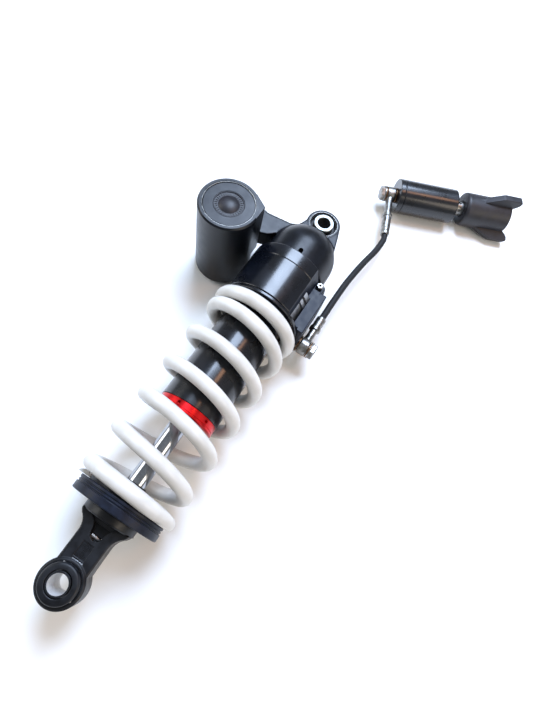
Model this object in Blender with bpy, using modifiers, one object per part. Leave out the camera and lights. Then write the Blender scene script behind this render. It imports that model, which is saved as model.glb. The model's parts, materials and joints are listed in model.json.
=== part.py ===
"""Motorcycle rear shock: coil-over damper with a reservoir and a remote hydraulic preload adjuster.

Lengths are in millimetres unless a name says otherwise, and MM turns them into metres. The shock lies on
its side: X runs along it from the lower eye to the upper eye, both eye bores are parallel to Z, the
reservoir is on the +Y side and the hose with the remote adjuster on the -Y side.
"""

import math

import bmesh
import bpy
from mathutils import Matrix, Vector

MM = 0.001
GAP = 0.3
RUNNING = 0.06
MERGE = 0.00002

# Where the lower eye's centre lies in the object's frame, whose origin is the bottom centre of its box.
LOWER_EYE_AT = Vector((-280.65, 39.0, 44.0))
FLOOR = -44.0

# Eye to eye, and the coil-over stack along X.
EYE_TO_EYE = 380.0
SEAT_LOW, SEAT_TOP = 55.0, 66.5
CAP_LOW, TUBE_LOW, TUBE_HIGH = 143.0, 152.0, 331.0
SPRING_LOW, SPRING_HIGH = 66.8, 261.7
HOUSING_LOW, HOUSING_STEP, HOUSING_HIGH = 265.5, 305.0, 318.2
HEAD_LOW, DOME_CENTRE = 319.2, 338.0

# Radii of the coil-over.
ROD_R = 8.0
TUBE_R, TUBE_BORE_R = 27.0, 23.2
SEAT_R = 38.0
HOUSING_R, HOUSING_BORE_R = 38.75, 34.3
HEAD_R = 33.1

# Coil spring, left-handed: closed turns at both ends, open turns between them.
WIRE_R, COIL_R = 6.25, 37.75
CLOSED_PITCH, OPEN_PITCH = 13.5, 33.4
OPEN_FROM, OPEN_TURNS, TOTAL_TURNS = 1.0, 4.92, 7.45
POINTS_PER_TURN = 16

# Reservoir, upright beside the head.
RESERVOIR_AT = Vector((313.0, 72.0, 0.0))
RESERVOIR_R, RESERVOIR_BORE_R, RESERVOIR_TOP = 28.0, 22.3, 52.0
CORNER_AT = Vector((329.5, 44.4, 0.0))

# Eyes: half widths along Z and radii.
UPPER_LUG_HALF, UPPER_LUG_R, UPPER_BORE_R, UPPER_BUSH_HALF = 11.0, 17.3, 14.3, 13.0
BALL_R, RACE_R, TILT_CLEARANCE_R = 11.2, 11.6, 12.4
LOWER_EYE_HALF, LOWER_EYE_R, LOWER_BORE_R, LOWER_BUSH_HALF = 12.5, 17.5, 11.3, 18.6

# Hydraulic hose between two banjo fittings.
HOSE_R, FERRULE_R = 3.3, 4.7
PORT_AT = Vector((268.0, -43.0, -17.0))
BANJO_HOLE_R, BANJO_EYE_R, BANJO_HALF, WASHER_THICK = 5.1, 8.4, 4.6, 1.4
SHOCK_FERRULE_END = 36.0
REMOTE_FERRULE_END = 58.0
HOSE_STRAIGHT = 6.0
HOSE_ROUTE = (
    (330.0, -49.6, -17.8),
    (358.0, -50.4, -19.6),
    (388.0, -53.4, -21.9),
    (414.0, -57.4, -24.0),
)

# Remote adjuster, lying along the floor. Heights along it are measured from its closed end.
REMOTE_AT = Vector((496.4, -42.1, -25.0))
REMOTE_AXIS = Vector((0.4345, -0.9007, 0.0)).normalized()
REMOTE_R, REMOTE_BORE_R = 19.0, 14.3
HUB_LOW, HUB_HIGH, HUB_R = 79.0, 132.0, 18.6
WING_TIP_R, WING_HIGH, WING_COUNT, WING_PHASE = 29.0, 139.0, 3, math.radians(4.0)
REMOTE_NECK_ANGLE = math.radians(200.0)

STEPS_LARGE, STEPS_MEDIUM, STEPS_SMALL = 24, 16, 12

X_AXIS, Y_AXIS, Z_AXIS = Vector((1, 0, 0)), Vector((0, 1, 0)), Vector((0, 0, 1))
ORIGIN = Vector((0, 0, 0))
UPPER_EYE_AT = Vector((EYE_TO_EYE, 0, 0))

# Colour, roughness and metallic value of each material.
MATERIALS = {
    "gloss_black": ((0.012, 0.014, 0.020), 0.22, 0.6),
    "satin_black": ((0.020, 0.021, 0.024), 0.45, 0.2),
    "grey_plastic": ((0.045, 0.041, 0.044), 0.60, 0.0),
    "white_paint": ((0.80, 0.78, 0.72), 0.35, 0.0),
    "hard_chrome": ((0.75, 0.76, 0.78), 0.08, 1.0),
    "red_anodised": ((0.60, 0.02, 0.02), 0.25, 0.8),
    "zinc_steel": ((0.55, 0.55, 0.56), 0.32, 1.0),
    "bearing_steel": ((0.62, 0.63, 0.65), 0.20, 1.0),
    "copper": ((0.60, 0.36, 0.16), 0.30, 1.0),
    "aluminium": ((0.60, 0.61, 0.63), 0.35, 1.0),
    "black_rubber": ((0.014, 0.014, 0.015), 0.70, 0.0),
    "bump_foam": ((0.05, 0.05, 0.05), 0.80, 0.0),
    "ptfe": ((0.30, 0.22, 0.12), 0.50, 0.0),
}


def clear_scene():
    for old in list(bpy.data.objects):
        bpy.data.objects.remove(old, do_unlink=True)


def new_collection(name, hidden=False):
    collection = bpy.data.collections.new(name)
    collection.hide_render = hidden
    bpy.context.scene.collection.children.link(collection)
    return collection


def new_frame():
    """The empty that all parts hang from: its origin is the lower eye's centre."""
    empty = bpy.data.objects.new("shock_frame", None)
    empty.location = LOWER_EYE_AT * MM
    PARTS.objects.link(empty)
    return empty


def material(name):
    found = bpy.data.materials.get(name)
    if found:
        return found
    colour, roughness, metallic = MATERIALS[name]
    made = bpy.data.materials.new(name)
    made.use_nodes = True
    made.diffuse_color = (*colour, 1.0)
    shader = made.node_tree.nodes["Principled BSDF"]
    shader.inputs["Base Color"].default_value = (*colour, 1.0)
    shader.inputs["Roughness"].default_value = roughness
    shader.inputs["Metallic"].default_value = metallic
    return made


def place(obj, at=ORIGIN, axis=Z_AXIS, finish=None):
    """Puts the object in the frame with its Z along axis. Without a finish it is a hidden cutter."""
    obj.parent = FRAME
    obj.location = Vector(at) * MM
    obj.rotation_mode = "QUATERNION"
    obj.rotation_quaternion = Z_AXIS.rotation_difference(Vector(axis))
    if finish:
        PARTS.objects.link(obj)
        obj.data.materials.append(material(finish))
    else:
        CUTTERS.objects.link(obj)
        obj.hide_render = True
        obj.display_type = "WIRE"
    return obj


def turned(name, profile, at=ORIGIN, axis=Z_AXIS, finish=None, steps=STEPS_MEDIUM):
    """A body of revolution. The profile's (radius, height) pairs run down the outer side and, on a ring,
    back up the bore; a solid's profile starts and ends on the axis."""
    mesh = bpy.data.meshes.new(name)
    points = [(radius * MM, 0.0, height * MM) for radius, height in profile]
    edges = [(i, i + 1) for i in range(len(points) - 1)]
    if profile[0][0] > 0:
        edges.append((len(points) - 1, 0))
    mesh.from_pydata(points, edges, [])
    obj = bpy.data.objects.new(name, mesh)
    turn = obj.modifiers.new("Turn", "SCREW")
    turn.steps = turn.render_steps = steps
    turn.use_merge_vertices = True
    turn.merge_threshold = MERGE
    return place(obj, at, axis, finish)


def ring(name, bore, outer, low, high, at=ORIGIN, axis=Z_AXIS, finish=None, steps=STEPS_MEDIUM, chamfer=0):
    """A plain ring, with both outer edges chamfered where a chamfer is given."""
    if chamfer:
        side = [(outer - chamfer, high), (outer, high - chamfer), (outer, low + chamfer), (outer - chamfer, low)]
    else:
        side = [(outer, high), (outer, low)]
    return turned(name, side + [(bore, low), (bore, high)], at, axis, finish, steps)


def disc(name, outer, low, high, at=ORIGIN, axis=Z_AXIS, finish=None, steps=STEPS_MEDIUM):
    return turned(name, [(0, high), (outer, high), (outer, low), (0, low)], at, axis, finish, steps)


def box(name, low, high, finish=None):
    low, high = Vector(low), Vector(high)
    work = bmesh.new()
    size = (high - low) * MM
    bmesh.ops.create_cube(work, size=1.0, matrix=Matrix.Diagonal((*size, 1.0)))
    mesh = bpy.data.meshes.new(name)
    work.to_mesh(mesh)
    work.free()
    return place(bpy.data.objects.new(name, mesh), (low + high) / 2, Z_AXIS, finish)


def hexagon(name, across_flats, low, high, at, axis, finish):
    return disc(name, across_flats / math.sqrt(3), low, high, at, axis, finish, steps=6)


def drill(name, radius, start, end, steps=16):
    """A round cutter between two points."""
    start, end = Vector(start), Vector(end)
    return disc(name, radius, 0, (end - start).length, start, (end - start).normalized(), steps=steps)


def arc(centre, radius, first, last, count):
    """Points on an arc, with angles in degrees."""
    angles = [math.radians(first + (last - first) * i / (count - 1)) for i in range(count)]
    return [(centre[0] + radius * math.cos(a), centre[1] + radius * math.sin(a)) for a in angles]


def solid_of_curve(curve_object, name):
    """The curve's solid as a mesh object with its caps welded on."""
    bpy.context.view_layer.update()
    graph = bpy.context.evaluated_depsgraph_get()
    mesh = bpy.data.meshes.new_from_object(curve_object.evaluated_get(graph))
    work = bmesh.new()
    work.from_mesh(mesh)
    bmesh.ops.remove_doubles(work, verts=work.verts, dist=MERGE)
    bmesh.ops.recalc_face_normals(work, faces=work.faces)
    work.to_mesh(mesh)
    work.free()
    mesh.name = name
    bpy.data.objects.remove(curve_object, do_unlink=True)
    return bpy.data.objects.new(name, mesh)


def plate(name, outline, low, high, at=ORIGIN, axis=Z_AXIS, finish=None):
    """A flat piece: the outline in its own XY plane, thick from low to high."""
    curve = bpy.data.curves.new(name, "CURVE")
    curve.dimensions = "2D"
    curve.fill_mode = "BOTH"
    curve.extrude = (high - low) / 2 * MM
    spline = curve.splines.new("POLY")
    spline.points.add(len(outline) - 1)
    for point, (x, y) in zip(spline.points, outline):
        point.co = (x * MM, y * MM, 0.0, 1.0)
    spline.use_cyclic_u = True
    guide = bpy.data.objects.new(name, curve)
    CUTTERS.objects.link(guide)
    obj = solid_of_curve(guide, name)
    middle = Matrix.Translation((0, 0, (low + high) / 2 * MM))
    obj.data.transform(middle)
    return place(obj, at, axis, finish)


def wire(name, points, radius, resolution, finish):
    """A round bar along the points, with filled caps."""
    curve = bpy.data.curves.new(name, "CURVE")
    curve.dimensions = "3D"
    curve.bevel_depth = radius * MM
    curve.bevel_resolution = resolution
    curve.use_fill_caps = True
    spline = curve.splines.new("POLY")
    spline.points.add(len(points) - 1)
    for point, co in zip(spline.points, points):
        point.co = (*(Vector(co) * MM), 1.0)
    guide = bpy.data.objects.new(name, curve)
    CUTTERS.objects.link(guide)
    return place(solid_of_curve(guide, name), ORIGIN, Z_AXIS, finish)


def boolean(target, operation, *tools):
    for tool in tools:
        step = target.modifiers.new(tool.name, "BOOLEAN")
        step.operation = operation
        step.solver = "EXACT"
        step.object = tool


def cut(target, *tools):
    boolean(target, "DIFFERENCE", *tools)


def join(target, *tools):
    boolean(target, "UNION", *tools)


# Head, reservoir and damper tube.


def dome_profile():
    """The head's collar and its round shoulder."""
    shoulder = arc((DOME_CENTRE, 0), HEAD_R, 0, 90, 7)
    outer = [(radius, x) for x, radius in shoulder]
    outer[0] = (0, DOME_CENTRE + HEAD_R)
    return outer + [(HEAD_R, HEAD_LOW + 0.6), (HEAD_R - 0.6, HEAD_LOW), (0, HEAD_LOW)]


def corner_outline():
    """The tangents from the corner to the reservoir's round side."""
    out = CORNER_AT - RESERVOIR_AT
    middle = math.degrees(math.atan2(out.y, out.x))
    half = math.degrees(math.acos(RESERVOIR_R / out.length))
    centre = (RESERVOIR_AT.x, RESERVOIR_AT.y)
    near, far = arc(centre, RESERVOIR_R - 0.05, middle - half, middle + half, 2)
    return [centre, near, (CORNER_AT.x, CORNER_AT.y), far]


def head_casting():
    head = turned("head_casting", dome_profile(), axis=X_AXIS, finish="satin_black", steps=STEPS_LARGE)
    lug = plate(
        "head_lug",
        [(385, 15), (376, 16.6), (368, 18.8), (352, 27), (325, 26), (325, -26), (354, -26), (376, -20), (387, -15.4)],
        0.5 - UPPER_LUG_HALF,
        UPPER_LUG_HALF - 0.5,
    )
    far_edge = arc((340, 56), 18.5, 55, -15, 4)
    near_edge = [(345, 10), (343, 32), (335.5, 39), (333, 46), (322, 56), (316, 72), (330, 80)]
    web = plate("head_web", near_edge + far_edge + [(360, 36), (361.5, 27), (367, 18), (368, 5)], -9.6, 9.9)
    housing = turned("head_reservoir", reservoir_profile(), RESERVOIR_AT, steps=STEPS_LARGE)
    corner = plate("head_corner", corner_outline(), -9, RESERVOIR_TOP - 0.2)
    join(head, lug, web, housing, corner)
    bake(head)
    cavity = turned(
        "head_reservoir_bore",
        [(0, 60), (24.3, 60), (24.3, 44), (RESERVOIR_BORE_R, 44), (RESERVOIR_BORE_R, -38), (0, -38)],
        RESERVOIR_AT,
    )
    socket = turned(
        "head_socket",
        [(0, 348), (20, 348), (20, 332), (TUBE_R + GAP, 332), (TUBE_R + GAP, 310), (0, 310)],
        axis=X_AXIS,
    )
    spot_face = disc("head_spot_face", 15.8, -40, 40, UPPER_EYE_AT, steps=STEPS_LARGE)
    eye = ring(
        "head_eye", UPPER_BORE_R, UPPER_LUG_R, -UPPER_LUG_HALF, UPPER_LUG_HALF, UPPER_EYE_AT, steps=STEPS_LARGE
    )
    passage = drill("head_oil_passage", 3.0, (342, 16, 0), (323, 55, 0))
    notch = box("head_notch", (HEAD_LOW - 2, -2.2, 28.5), (325.5, 0.2, 36))
    cut(head, cavity, spot_face)
    join(head, eye)
    bake(head)
    cut(head, socket, passage, notch)


def reservoir_profile():
    foot = arc((RESERVOIR_R - 7, FLOOR + 7), 7, 0, -90, 4)
    top = RESERVOIR_TOP
    rim = [(0, top), (RESERVOIR_R - 1.4, top), (RESERVOIR_R, top - 1.4)]
    return rim + foot + [(0, FLOOR)]


def reservoir_parts():
    """Cap, plug, valve, snap ring and the floating piston between gas and oil."""
    at = RESERVOIR_AT
    turned(
        "reservoir_cap",
        [(24.0, 50.8), (24.0, 44.3), (22.0, 44.3), (22.0, 42.6), (20.4, 42.6), (20.4, 40.2), (22.0, 40.2)]
        + [(22.0, 37.5), (4.3, 37.5), (4.3, 47.5), (14.3, 47.5), (14.3, 50.8)],
        at,
        finish="satin_black",
    )
    ring("cap_o_ring", 20.7, 22.0 + RUNNING, 40.5, 42.3, at, finish="black_rubber")
    ring("cap_snap_ring", 22.9, 24.0, 51.1, 51.9, at, finish="zinc_steel")
    dome = arc((0, 30.0), 22.6, 90, 54.5, 4)
    plug = [(0, 52.6)] + dome[1:] + [(13.9, 47.8), (0, 47.8)]
    turned("cap_plug", plug, at, finish="grey_plastic")
    turned(
        "gas_valve",
        [(0, 47.2), (2.4, 47.2), (2.4, 43), (4.0, 43), (4.0, 38), (3, 36.5), (0, 36.5)],
        at,
        finish="bearing_steel",
        steps=STEPS_SMALL,
    )
    low, high = 11.0, 25.0
    outer = RESERVOIR_BORE_R - 0.4
    turned(
        "reservoir_piston",
        [(16, high), (16, low + 5), (0, low + 5)][::-1]
        + [(outer, high)]
        + [(outer, 20.2), (20.4, 20.2), (20.4, 17.2), (outer, 17.2), (outer, low), (0, low)],
        at,
        finish="aluminium",
    )
    ring("reservoir_piston_seal", 20.7, RESERVOIR_BORE_R - RUNNING, 17.5, 19.9, at, finish="black_rubber")


def damper_body_parts():
    ring("damper_tube", TUBE_BORE_R, TUBE_R, TUBE_LOW, TUBE_HIGH, ORIGIN, X_AXIS, "gloss_black")
    cap = turned(
        "tube_end_cap",
        [(22.9, 158), (22.9, TUBE_LOW - GAP), (26.7, TUBE_LOW - GAP), (26.7, CAP_LOW + 1), (25.7, CAP_LOW)]
        + [(12.0, CAP_LOW), (12.0, 147), (ROD_R + GAP, 147), (ROD_R + GAP, 158)],
        axis=X_AXIS,
        finish="red_anodised",
    )
    for i in range(6):
        angle = math.radians(60 * i + 15)
        out = Vector((0, math.cos(angle), math.sin(angle)))
        middle = Vector((147.6, 0, 0))
        cut(cap, drill(f"cap_pin_hole_{i}", 1.5, middle + out * 23.5, middle + out * 30, steps=10))
    ring("dust_wiper", ROD_R + RUNNING, 11.7, 143.3, 146.7, ORIGIN, X_AXIS, "black_rubber")
    turned(
        "seal_head",
        [(22.9, 172), (22.9, 158.3), (12, 158.3), (12, 163), (ROD_R + RUNNING, 163), (ROD_R + RUNNING, 172)],
        axis=X_AXIS,
        finish="aluminium",
    )
    ring("rod_seal", ROD_R + RUNNING, 11.7, 158.6, 162.7, ORIGIN, X_AXIS, "black_rubber")


# Rod assembly.


def piston_rod():
    rod = turned(
        "piston_rod",
        [(3.1, 211), (5.8, 211), (5.8, 186), (ROD_R, 186), (ROD_R, 46), (7, 45), (3.1, 45)],
        axis=X_AXIS,
        finish="hard_chrome",
    )
    jets = drill("rod_jets", 1.6, (180, 0, -12), (180, 0, 12), steps=10)
    cut(rod, jets)


def piston_parts():
    """What stacks on the rod's end: spacer, shims, piston with its band, shims and nut."""
    bore = 5.8 + GAP
    ring("top_out_spacer", ROD_R + GAP, 12.5, 172.4, 178, ORIGIN, X_AXIS, "aluminium", chamfer=0.8)
    turned(
        "rebound_shims",
        [(17, 188.5), (17, 187.8), (14, 187.8), (14, 187.0), (11, 187.0), (11, 186.3), (bore, 186.3)]
        + [(bore, 188.5)],
        axis=X_AXIS,
        finish="bearing_steel",
        steps=STEPS_SMALL,
    )
    outer = TUBE_BORE_R - 0.5
    piston = turned(
        "damper_piston",
        [(outer, 202), (outer, 199.8), (21.9, 199.8), (21.9, 191.2), (outer, 191.2), (outer, 188.8)]
        + [(bore, 188.8), (bore, 202)],
        axis=X_AXIS,
        finish="aluminium",
    )
    for i in range(6):
        angle = math.radians(60 * i + 11)
        at = Vector((0, 12 * math.cos(angle), 12 * math.sin(angle)))
        cut(piston, drill(f"piston_port_{i}", 2.2, at + X_AXIS * 186, at + X_AXIS * 205, steps=8))
    ring("piston_band", 22.2, TUBE_BORE_R - RUNNING, 191.5, 199.5, ORIGIN, X_AXIS, "ptfe")
    turned(
        "compression_shims",
        [(11, 204.5), (11, 203.8), (14, 203.8), (14, 203.0), (17, 203.0), (17, 202.3), (bore, 202.3)]
        + [(bore, 204.5)],
        axis=X_AXIS,
        finish="bearing_steel",
        steps=STEPS_SMALL,
    )
    nut = hexagon("piston_nut", 18, 204.8, 211, ORIGIN, X_AXIS, "zinc_steel")
    cut(nut, disc("piston_nut_hole", bore, 200, 215, axis=X_AXIS, steps=STEPS_SMALL))


def bump_stop():
    turned(
        "bump_stop",
        [(9.4, 81.5), (9.4, 79), (13, 75.5), (11.5, 73.5), (15, 70), (15, 66.8), (ROD_R + GAP, 66.8)]
        + [(ROD_R + GAP, 81.5)],
        axis=X_AXIS,
        finish="bump_foam",
        steps=STEPS_SMALL,
    )


def lower_spring_seat():
    """A stepped flange with two fine grooves, and a rim inside the coil that centres it."""
    top, groove = SEAT_TOP, SEAT_R - 1.2
    turned(
        "lower_spring_seat",
        [(17, 71), (30.2, 71), (31.1, 70), (31.1, top), (SEAT_R - 0.6, top), (SEAT_R - 0.3, top - 0.4)]
        + [(SEAT_R - 0.3, 64.2), (groove, 64.0), (groove, 63.2), (SEAT_R - 0.5, 63.0), (SEAT_R - 0.5, 62.2)]
        + [(groove, 62.0), (groove, 61.2), (SEAT_R, 61.0), (SEAT_R, SEAT_LOW + 0.5), (SEAT_R - 0.5, SEAT_LOW)]
        + [(17, SEAT_LOW)],
        axis=X_AXIS,
        finish="satin_black",
        steps=STEPS_LARGE,
    )


def clevis_outline(side):
    """The neck's edge on one side, from the eye up to the collar."""
    points = [(0, 13.5), (12, 13.0), (38, 13.0), (42, 14.2), (45, 17), (47.2, 20.6), (49, 21.5)]
    return [(x, side * y) for x, y in points]


def lower_clevis():
    clevis = turned(
        "lower_clevis",
        [(0, 66.2), (16.5, 66.2), (16.5, 54.7), (22.0, 54.7), (22.5, 54.2), (22.5, 49.0), (21.5, 48.0), (0, 48.0)],
        axis=X_AXIS,
        finish="satin_black",
        steps=STEPS_LARGE,
    )
    neck = plate("clevis_neck", clevis_outline(-1) + clevis_outline(1)[::-1], -12, 12)
    half = LOWER_EYE_HALF
    eye_profile = [(16.5, half + 0.5), (LOWER_EYE_R, half - 0.5), (LOWER_EYE_R, 0.5 - half), (16.5, -half - 0.5)]
    eye = turned("clevis_eye", eye_profile + [(5, -half - 0.5), (5, half + 0.5)], steps=STEPS_LARGE)
    join(clevis, neck, eye)
    pocket = arc((36.5, -1.5), 5.5, 110, 250, 5) + [(41, -8.2), (48.6, -10.5), (48.6, 8.4), (42, 6)]
    for side, low, high in (("top", 6.5, 14.2), ("bottom", -14.2, -6.5)):
        cut(clevis, plate(f"clevis_pocket_{side}", pocket, low, high))
    panel = box("clevis_panel", (18.6, -4.7, 11.3), (30.6, 4.7, 14))
    bore = disc("clevis_eye_bore", LOWER_BORE_R, -20, 20)
    cover_seat = disc("clevis_cover_seat", 14.7, 12.6, 20)
    cover_seat_far = disc("clevis_cover_seat_far", 14.7, -20, -12.6)
    rod_bore = disc("clevis_rod_bore", ROD_R + GAP, 44.7, 70, axis=X_AXIS)
    needle_bore = disc("clevis_needle_bore", 3.2, 30, 46, axis=X_AXIS, steps=16)
    screw_bore = disc("clevis_screw_bore", 4.0, 0, 20, (35, -4.5, 0), Y_AXIS, steps=16)
    cut(clevis, panel, cover_seat, cover_seat_far, bore, rod_bore, needle_bore, screw_bore)


def rebound_adjuster():
    """A slotted screw across the clevis, and the needle that its cone lifts inside the hollow rod."""
    screw = turned(
        "rebound_screw",
        [(0, 16.5), (3.7, 16.5), (3.7, 6.0), (1.6, 1.0), (0, 0.6)],
        (35, -4.5, 0),
        Y_AXIS,
        "zinc_steel",
        STEPS_SMALL,
    )
    cut(screw, box("rebound_slot", (30, 10.6, -0.6), (40, 14, 0.6)))
    turned(
        "rebound_needle",
        [(0, 178), (1.2, 174), (2.5, 172), (2.5, 41), (0, 39.2)],
        axis=X_AXIS,
        finish="bearing_steel",
        steps=12,
    )


# Coil spring.


def coil_height(turn):
    opened = min(max(turn - OPEN_FROM, 0.0), OPEN_TURNS)
    return 64.0 + CLOSED_PITCH * turn + (OPEN_PITCH - CLOSED_PITCH) * opened


def coil_spring():
    """The wire rises along X, from +Y through -Z; both ends are ground flat."""
    points = []
    for i in range(round(TOTAL_TURNS * POINTS_PER_TURN) + 1):
        turn = i / POINTS_PER_TURN
        angle = 2 * math.pi * turn
        points.append((coil_height(turn), COIL_R * math.cos(angle), -COIL_R * math.sin(angle)))
    spring = wire("coil_spring", points, WIRE_R, 2, "white_paint")
    cut(
        spring,
        disc("spring_grind_low", 60, SPRING_LOW - 30, SPRING_LOW, axis=X_AXIS),
        disc("spring_grind_high", 60, SPRING_HIGH, SPRING_HIGH + 30, axis=X_AXIS),
    )


# Preload cylinder round the damper tube.


def preload_cylinder():
    """Housing with an annular bore, flats on its upper side and the port block on its -Y side."""
    high = HOUSING_HIGH
    housing = turned(
        "preload_cylinder",
        [(0, high), (HOUSING_R - 0.6, high), (HOUSING_R, high - 0.6), (HOUSING_R, HOUSING_STEP), (HOUSING_R - 0.4, 304.6)]
        + [(HOUSING_R - 0.4, HOUSING_LOW + 0.5), (HOUSING_R - 0.9, HOUSING_LOW), (0, HOUSING_LOW)],
        axis=X_AXIS,
        finish="gloss_black",
        steps=STEPS_LARGE,
    )
    block = box("preload_block", (HOUSING_LOW - 2.5, -43, -30), (309, -30.5, 14))
    join(housing, block)
    bake(housing)
    flats = [(-17.3, 34.7), (-23.6, 30.6), (-28.4, 14), (-60, 14), (-60, 60), (-17.3, 60)]
    side = plate("preload_flats", [(-z, y) for y, z in flats], 240, 330, axis=X_AXIS)
    shelf = box("preload_shelf", (309.2, -60, 11), (330, -28.4, 16))
    bore = disc("preload_bore", HOUSING_BORE_R, 240, 300, axis=X_AXIS)
    tube_room = disc("preload_tube_room", TUBE_R + GAP, 230, 325, axis=X_AXIS)
    seat_room = disc("preload_seat_room", SEAT_R + 1.2, 240, HOUSING_LOW + 0.3, axis=X_AXIS, steps=STEPS_LARGE)
    port = drill("preload_port", BANJO_HOLE_R, PORT_AT + Y_AXIS * 7.5, PORT_AT - Y_AXIS * 5)
    gallery = drill("preload_gallery", 2.2, (268, -38.2, -17), (297.5, -38.2, -17), steps=12)
    feed = drill("preload_feed", 2.0, (297.5, -39, -17), (297.5, -26, -17), steps=12)
    bleed = drill("preload_bleed_hole", 2.0, (314.6, -32.2, 5), (314.6, -32.2, 20), steps=12)
    cut(housing, side, shelf, bore, tube_room, seat_room, port, gallery, feed, bleed)
    screw = hexagon("bleed_screw", 6.4, 11.3, 15.6, (314.6, -32.2, 0), Z_AXIS, "zinc_steel")
    join(screw, disc("bleed_shank", 1.7, 6, 12, (314.6, -32.2, 0), steps=12))


def preload_piston_parts():
    """Annular piston, its two seals, and the seat that it presses against the spring."""
    inner, outer = TUBE_R + 0.08, HOUSING_BORE_R - RUNNING
    turned(
        "preload_piston",
        [(outer, 297), (outer, 291.8), (32.6, 291.8), (32.6, 288.8), (outer, 288.8), (outer, 285), (32.4, 284)]
        + [(32.4, 265.6), (inner, 265.6), (inner, 288.8), (28.6, 288.8), (28.6, 291.8), (inner, 291.8), (inner, 297)],
        axis=X_AXIS,
        finish="aluminium",
    )
    ring("preload_outer_seal", 32.9, outer, 289.1, 291.5, ORIGIN, X_AXIS, "black_rubber")
    ring("preload_inner_seal", inner, 28.3, 289.1, 291.5, ORIGIN, X_AXIS, "black_rubber")
    turned(
        "upper_spring_seat",
        [(38.0, 265.2), (38.6, 264.6), (38.6, 262.6), (38.0, 262.0), (31.1, 262.0), (31.1, 257), (30.2, 256)]
        + [(inner + 0.3, 256), (inner + 0.3, 265.2)],
        axis=X_AXIS,
        finish="gloss_black",
        steps=STEPS_LARGE,
    )


# Eyes.


def upper_eye_parts():
    """Spherical bearing: race, ball and two flanged bushes that meet inside the ball, with a seal each side."""
    at = UPPER_EYE_AT
    inner = arc((0, 0), RACE_R, -31, 31, 5)
    turned(
        "upper_bearing_race",
        [(UPPER_BORE_R - GAP, 6), (UPPER_BORE_R - GAP, -6)] + inner,
        at,
        finish="bearing_steel",
    )
    ball = arc((0, 0), BALL_R, 38.5, -38.5, 7)
    turned("upper_bearing_ball", ball + [(8.0, -7.0), (8.0, 7.0)], at, finish="bearing_steel")
    for side, sign in (("near", 1), ("far", -1)):
        flange = 10.2
        profile = [(flange - 0.4, UPPER_BUSH_HALF), (flange, UPPER_BUSH_HALF - 0.4), (flange, 7.4), (7.8, 7.4)]
        profile += [(7.8, 0.15), (6.2, 0.15), (6.2, UPPER_BUSH_HALF)]
        turned(f"upper_bush_{side}", profile, at, Z_AXIS * sign, "zinc_steel")
        ring(f"upper_seal_{side}", TILT_CLEARANCE_R, UPPER_BORE_R - GAP, 7.6, 10.2, at, Z_AXIS * sign, "black_rubber")


def lower_eye_parts():
    """Bearing shell in the eye, two steel sleeves that meet inside it, and a dust cover each side."""
    ring("lower_bearing_shell", 8.8, LOWER_BORE_R - GAP, -12.2, 12.2, finish="bearing_steel")
    for side, sign in (("near", 1), ("far", -1)):
        ring(f"lower_sleeve_{side}", 7.0, 8.6, 0.15, LOWER_BUSH_HALF, ORIGIN, Z_AXIS * sign, "bearing_steel")
        cover = [(9.2, 18.3), (13.4, 18.3), (14.4, 17.3), (14.4, 12.9), (9.2, 12.9)]
        turned(f"lower_dust_cover_{side}", cover, ORIGIN, Z_AXIS * sign, "satin_black")


# Hydraulic line.


def banjo(name, face, axis, neck, lengths):
    """Bolt, two washers and the hose fitting on a port face. Axis points out of the port, neck along the
    hose, and lengths are the neck's step and the ferrule's two ends, measured from the bolt's axis."""
    first = GAP
    eye_low = first + WASHER_THICK + GAP
    eye_high = eye_low + 2 * BANJO_HALF
    last = eye_high + GAP
    head = last + WASHER_THICK + GAP
    for side, low in (("inner", first), ("outer", last)):
        ring(f"{name}_washer_{side}", BANJO_HOLE_R, 8.2, low, low + WASHER_THICK, face, axis, "copper", STEPS_SMALL)
    bolt = hexagon(f"{name}_bolt", 14, head, head + 5.4, face, axis, "zinc_steel")
    join(bolt, disc(f"{name}_shank", BANJO_HOLE_R - GAP, -5.5, head + 1, face, axis, steps=STEPS_SMALL))
    middle = face + axis * (eye_low + BANJO_HALF)
    half = BANJO_HALF
    eye = turned(
        f"{name}_fitting",
        [(7.2, half), (BANJO_EYE_R, half - 1.2), (BANJO_EYE_R, 1.2 - half), (7.2, -half)]
        + [(BANJO_HOLE_R, -half), (BANJO_HOLE_R, half)],
        middle,
        axis,
        "zinc_steel",
        STEPS_SMALL,
    )
    step, low, high = lengths
    stem = turned(
        f"{name}_stem",
        [(0, high), (3.6, high), (FERRULE_R, high - 0.8), (FERRULE_R, low + 4), (5.3, low + 3.4), (5.3, low + 0.4)]
        + [(4.6, low), (3.7, low), (3.7, step), (3.9, step - 1.5), (3.9, 5.6), (0, 5.6)],
        middle,
        neck,
        steps=STEPS_SMALL,
    )
    join(eye, stem)
    return middle


def spline_points(controls, spacing):
    """Points along a Catmull-Rom curve through the controls, about spacing apart."""
    padded = [controls[0] * 2 - controls[1]] + controls + [controls[-1] * 2 - controls[-2]]
    points = []
    for a, b, c, d in zip(padded, padded[1:], padded[2:], padded[3:]):
        count = max(round((c - b).length / spacing), 1)
        for i in range(count):
            t = i / count
            bend = (2 * a - 5 * b + 4 * c - d) * t * t + (3 * (b - c) + d - a) * t * t * t
            points.append((2 * b + (c - a) * t + bend) / 2)
    return points + [controls[-1]]


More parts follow.
